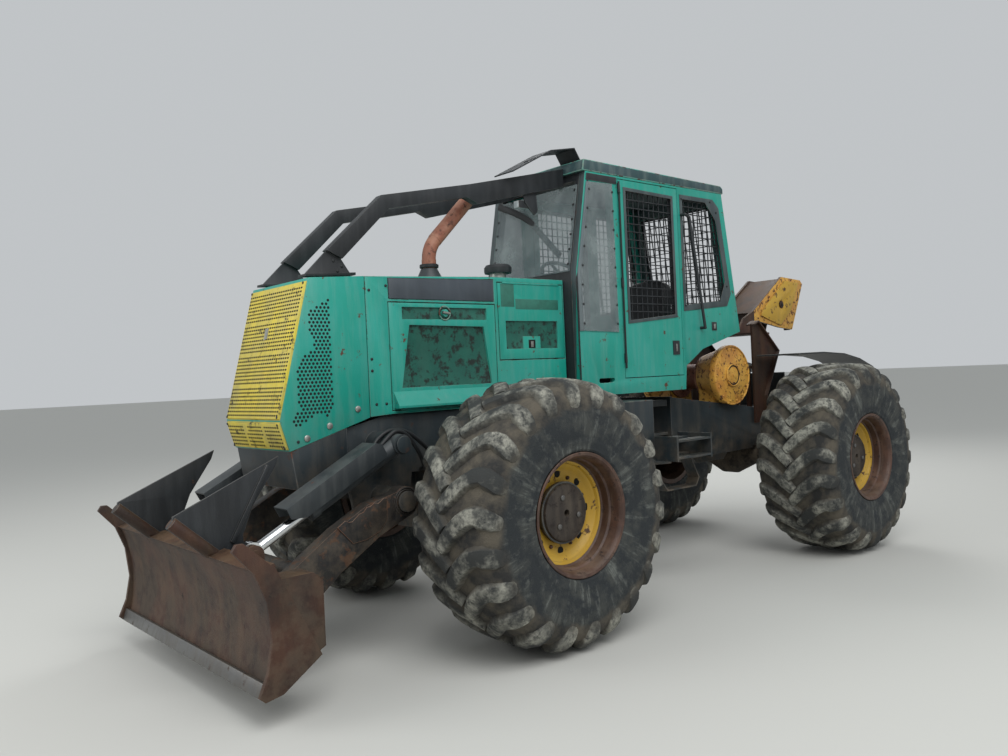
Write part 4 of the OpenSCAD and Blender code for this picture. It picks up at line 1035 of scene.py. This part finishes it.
def makeFittings(side, name):
    x, z = winchLook["centre"]
    out = (0, side, 0)
    hub = rear(x, side * winchLook["hubFace"], z)
    cover = rear(x, side * winchLook["coverFace"], z)
    # the hub's groove: a near-black arc of painted shade
    tubeAlong("winchGroove" + name, circlePath(hub, 0.080, 35, 320), 0.0055, holeShade, "winch_case", 8)
    tubeAlong("winchHubRim" + name, circlePath(hub, 0.092), 0.007, rustyYellow, "winch_case", 8)
    tubeAlong("winchCoverRim" + name, circlePath(cover, 0.250), 0.008, rustyYellow, "winch_case", 8)
    bolts = [hub] + circlePath(cover, winchLook["boltRing"], steps=winchLook["bolts"])[:-1]
    roundHeads("winchBolts" + name, [(p, out) for p in bolts], 0.011, 0.009, rustyYellow, "winch_case", 6)
    roundHeads("rollerEnd" + name, [(rear(-0.620, side * 0.202, 2.150), out)], 0.033, 0.012, rustyPlate,
               "fairlead_roller", 16)
    roundHeads("rollerBolt" + name, [(rear(-0.620, side * 0.213, 2.150), out)], 0.014, 0.009, darkBolt,
               "fairlead_roller", 6)
    arm = side * armLook["face"]
    prism("tornPlate" + name, armLook["plate"], arm, arm + side * 0.009, [armPaint, rustyEdge], "push_arms",
          roundMm=2.5)
    pinX, pinZ = armLook["pin"]
    for radius in armLook["rings"]:
        ring = circlePath(front(pinX, arm, pinZ), radius)
        tubeAlong(f"armBossRing{name}{int(radius * 1000)}", ring, 0.005, armPaint, "push_arms", 8)


for side, name in bothSides:
    makeFittings(side, name)

hoseLook = dict(
    radius=0.013,
    lines=([(0.850, 0.515, 1.195), (0.790, 0.510, 1.262), (0.700, 0.505, 1.300), (0.590, 0.500, 1.280),
            (0.475, 0.485, 1.205), (0.370, 0.440, 1.125), (0.300, 0.332, 1.085)],
           [(0.850, 0.560, 1.180), (0.785, 0.560, 1.245), (0.700, 0.555, 1.295), (0.610, 0.545, 1.255),
            (0.520, 0.520, 1.150), (0.440, 0.450, 1.060), (0.380, 0.332, 1.035)]),
)
for side, name in bothSides:
    barrel = "lift_barrel_" + name.lower()
    for index, line in enumerate(hoseLook["lines"]):
        points = [front(x, side * y, z) for x, y, z in line]
        piece = tubeAlong(f"liftHose{name}{index}", smoothLine(points), hoseLook["radius"], hoseRubber,
                          barrel, rides=False)
        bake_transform(piece)
print("fittings made")


# Seat: a padded cushion and backrest in place of the plain block

def pad(name, low, high, crown, tilt=0.0):
    # a closed pad: box faces bulge between pulled-in corners
    size = Vector(high) - Vector(low)
    centre = (Vector(low) + Vector(high)) / 2
    work = bmesh.new()
    bmesh.ops.create_cube(work, size=1.0)
    bmesh.ops.subdivide_edges(work, edges=work.edges, cuts=11, use_grid_fill=True)
    for vert in work.verts:
        p = vert.co * 2
        radius = sum(abs(c) ** 5 for c in p) ** (1 / 5)
        p = p / max(radius, 1e-6)
        bulge = 1 + crown * (1 - min(1, p.x * p.x)) * (1 - min(1, p.y * p.y))
        groove = sum(0.05 * math.exp(-((p.y - seam) / 0.04) ** 2) for seam in (-0.34, 0.34))
        p.z *= bulge - (groove if p.z > 0 else 0)
        vert.co = Vector((p.x * size.x / 2, p.y * size.y / 2, p.z * size.z / 2 / (1 + crown)))
    turn = Matrix.Rotation(tilt, 3, "Y")
    for vert in work.verts:
        vert.co = turn @ vert.co + centre
    mesh = bpy.data.meshes.new(name)
    work.to_mesh(mesh)
    work.free()
    return placePiece(name, mesh, [seatVinyl], "seat", 60)


seatLow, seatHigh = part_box("seat")
cushion = pad("seatCushion", (seatHigh.x - 0.49, -0.235, 1.775), (seatHigh.x, 0.235, 1.90), 0.25)
backrest = pad("seatBackrest", (seatLow.x + 0.02, -0.22, 1.90),
               (seatLow.x + 0.15, 0.22, seatHigh.z - 0.02), 0.2, math.radians(-7))
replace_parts(cushion, "seat")
pedestal = [(seatLow.z, 0.02), (seatLow.z, 0.16), (seatLow.z + 0.02, 0.16), (seatLow.z + 0.10, 0.11),
            (1.73, 0.13), (1.775, 0.16), (1.775, 0.02)]
verts, faces = lathe(pedestal, 28, "Z")
foot = Vector((seatHigh.x - 0.24, 0, 0))
newPiece("seatPedestal", [Vector(v) + foot for v in verts], faces, [cabPlastic], "seat")
print("seat made")


# Floor, light and camera

def makeStage():
    bpy.ops.mesh.primitive_plane_add(size=240, location=(0, 0, 0))
    floor = bpy.context.active_object
    floor.name = "studioFloor"
    material, tree, shader, where = newMaterial("paleFloor")
    setInputs(tree, shader, {"Base Color": "#c2c2bd", "Roughness": 0.9})
    floor.data.materials.append(material)
    world = bpy.data.worlds.new("studio")
    bpy.context.scene.world = world
    world.use_nodes = True
    setInputs(world.node_tree, world.node_tree.nodes["Background"], {"Color": "#dfe3e6", "Strength": 0.72})

    def softbox(name, place, target, size, power):
        lamp = bpy.data.lights.new(name, "AREA")
        lamp.energy = power
        lamp.size = size
        holder = bpy.data.objects.new(name, lamp)
        bpy.context.scene.collection.objects.link(holder)
        holder.location = place
        holder.rotation_euler = (Vector(target) - Vector(place)).to_track_quat("-Z", "Y").to_euler()

    softbox("keyLight", (3.5, 6.5, 8.5), (0, 0, 1), 7.0, 700)
    softbox("fillLight", (9.0, -3.0, 5.0), (0, 0, 1), 5.0, 220)
    softbox("rimLight", (-7.0, -5.0, 7.0), (0, 0, 1), 5.0, 320)


def makeCamera():
    # the photograph's camera, solved from the machine's known sizes; the picture leans a little
    spec = dict(place=front(3.4535, 4.7249, 1.5913), look=(-0.65277, -0.75754, -0.00363),
                right=(-0.75667, 0.65224, -0.04512), lens=30.66, sensor=36.0)
    look = Vector(spec["look"]).normalized()
    across = Vector(spec["right"])
    across = (across - look * across.dot(look)).normalized()
    up = across.cross(look)
    turn = Matrix((across, up, -look)).transposed()
    data = bpy.data.cameras.new("photoCamera")
    data.lens = spec["lens"]
    data.sensor_width = spec["sensor"]
    camera = bpy.data.objects.new("photoCamera", data)
    camera.matrix_world = Matrix.Translation(spec["place"]) @ turn.to_4x4()
    bpy.context.scene.collection.objects.link(camera)
    bpy.context.scene.camera = camera


makeStage()
makeCamera()
bpy.context.scene.view_settings.view_transform = "Standard"
print("stage and camera set")

bpy.context.view_layer.update()
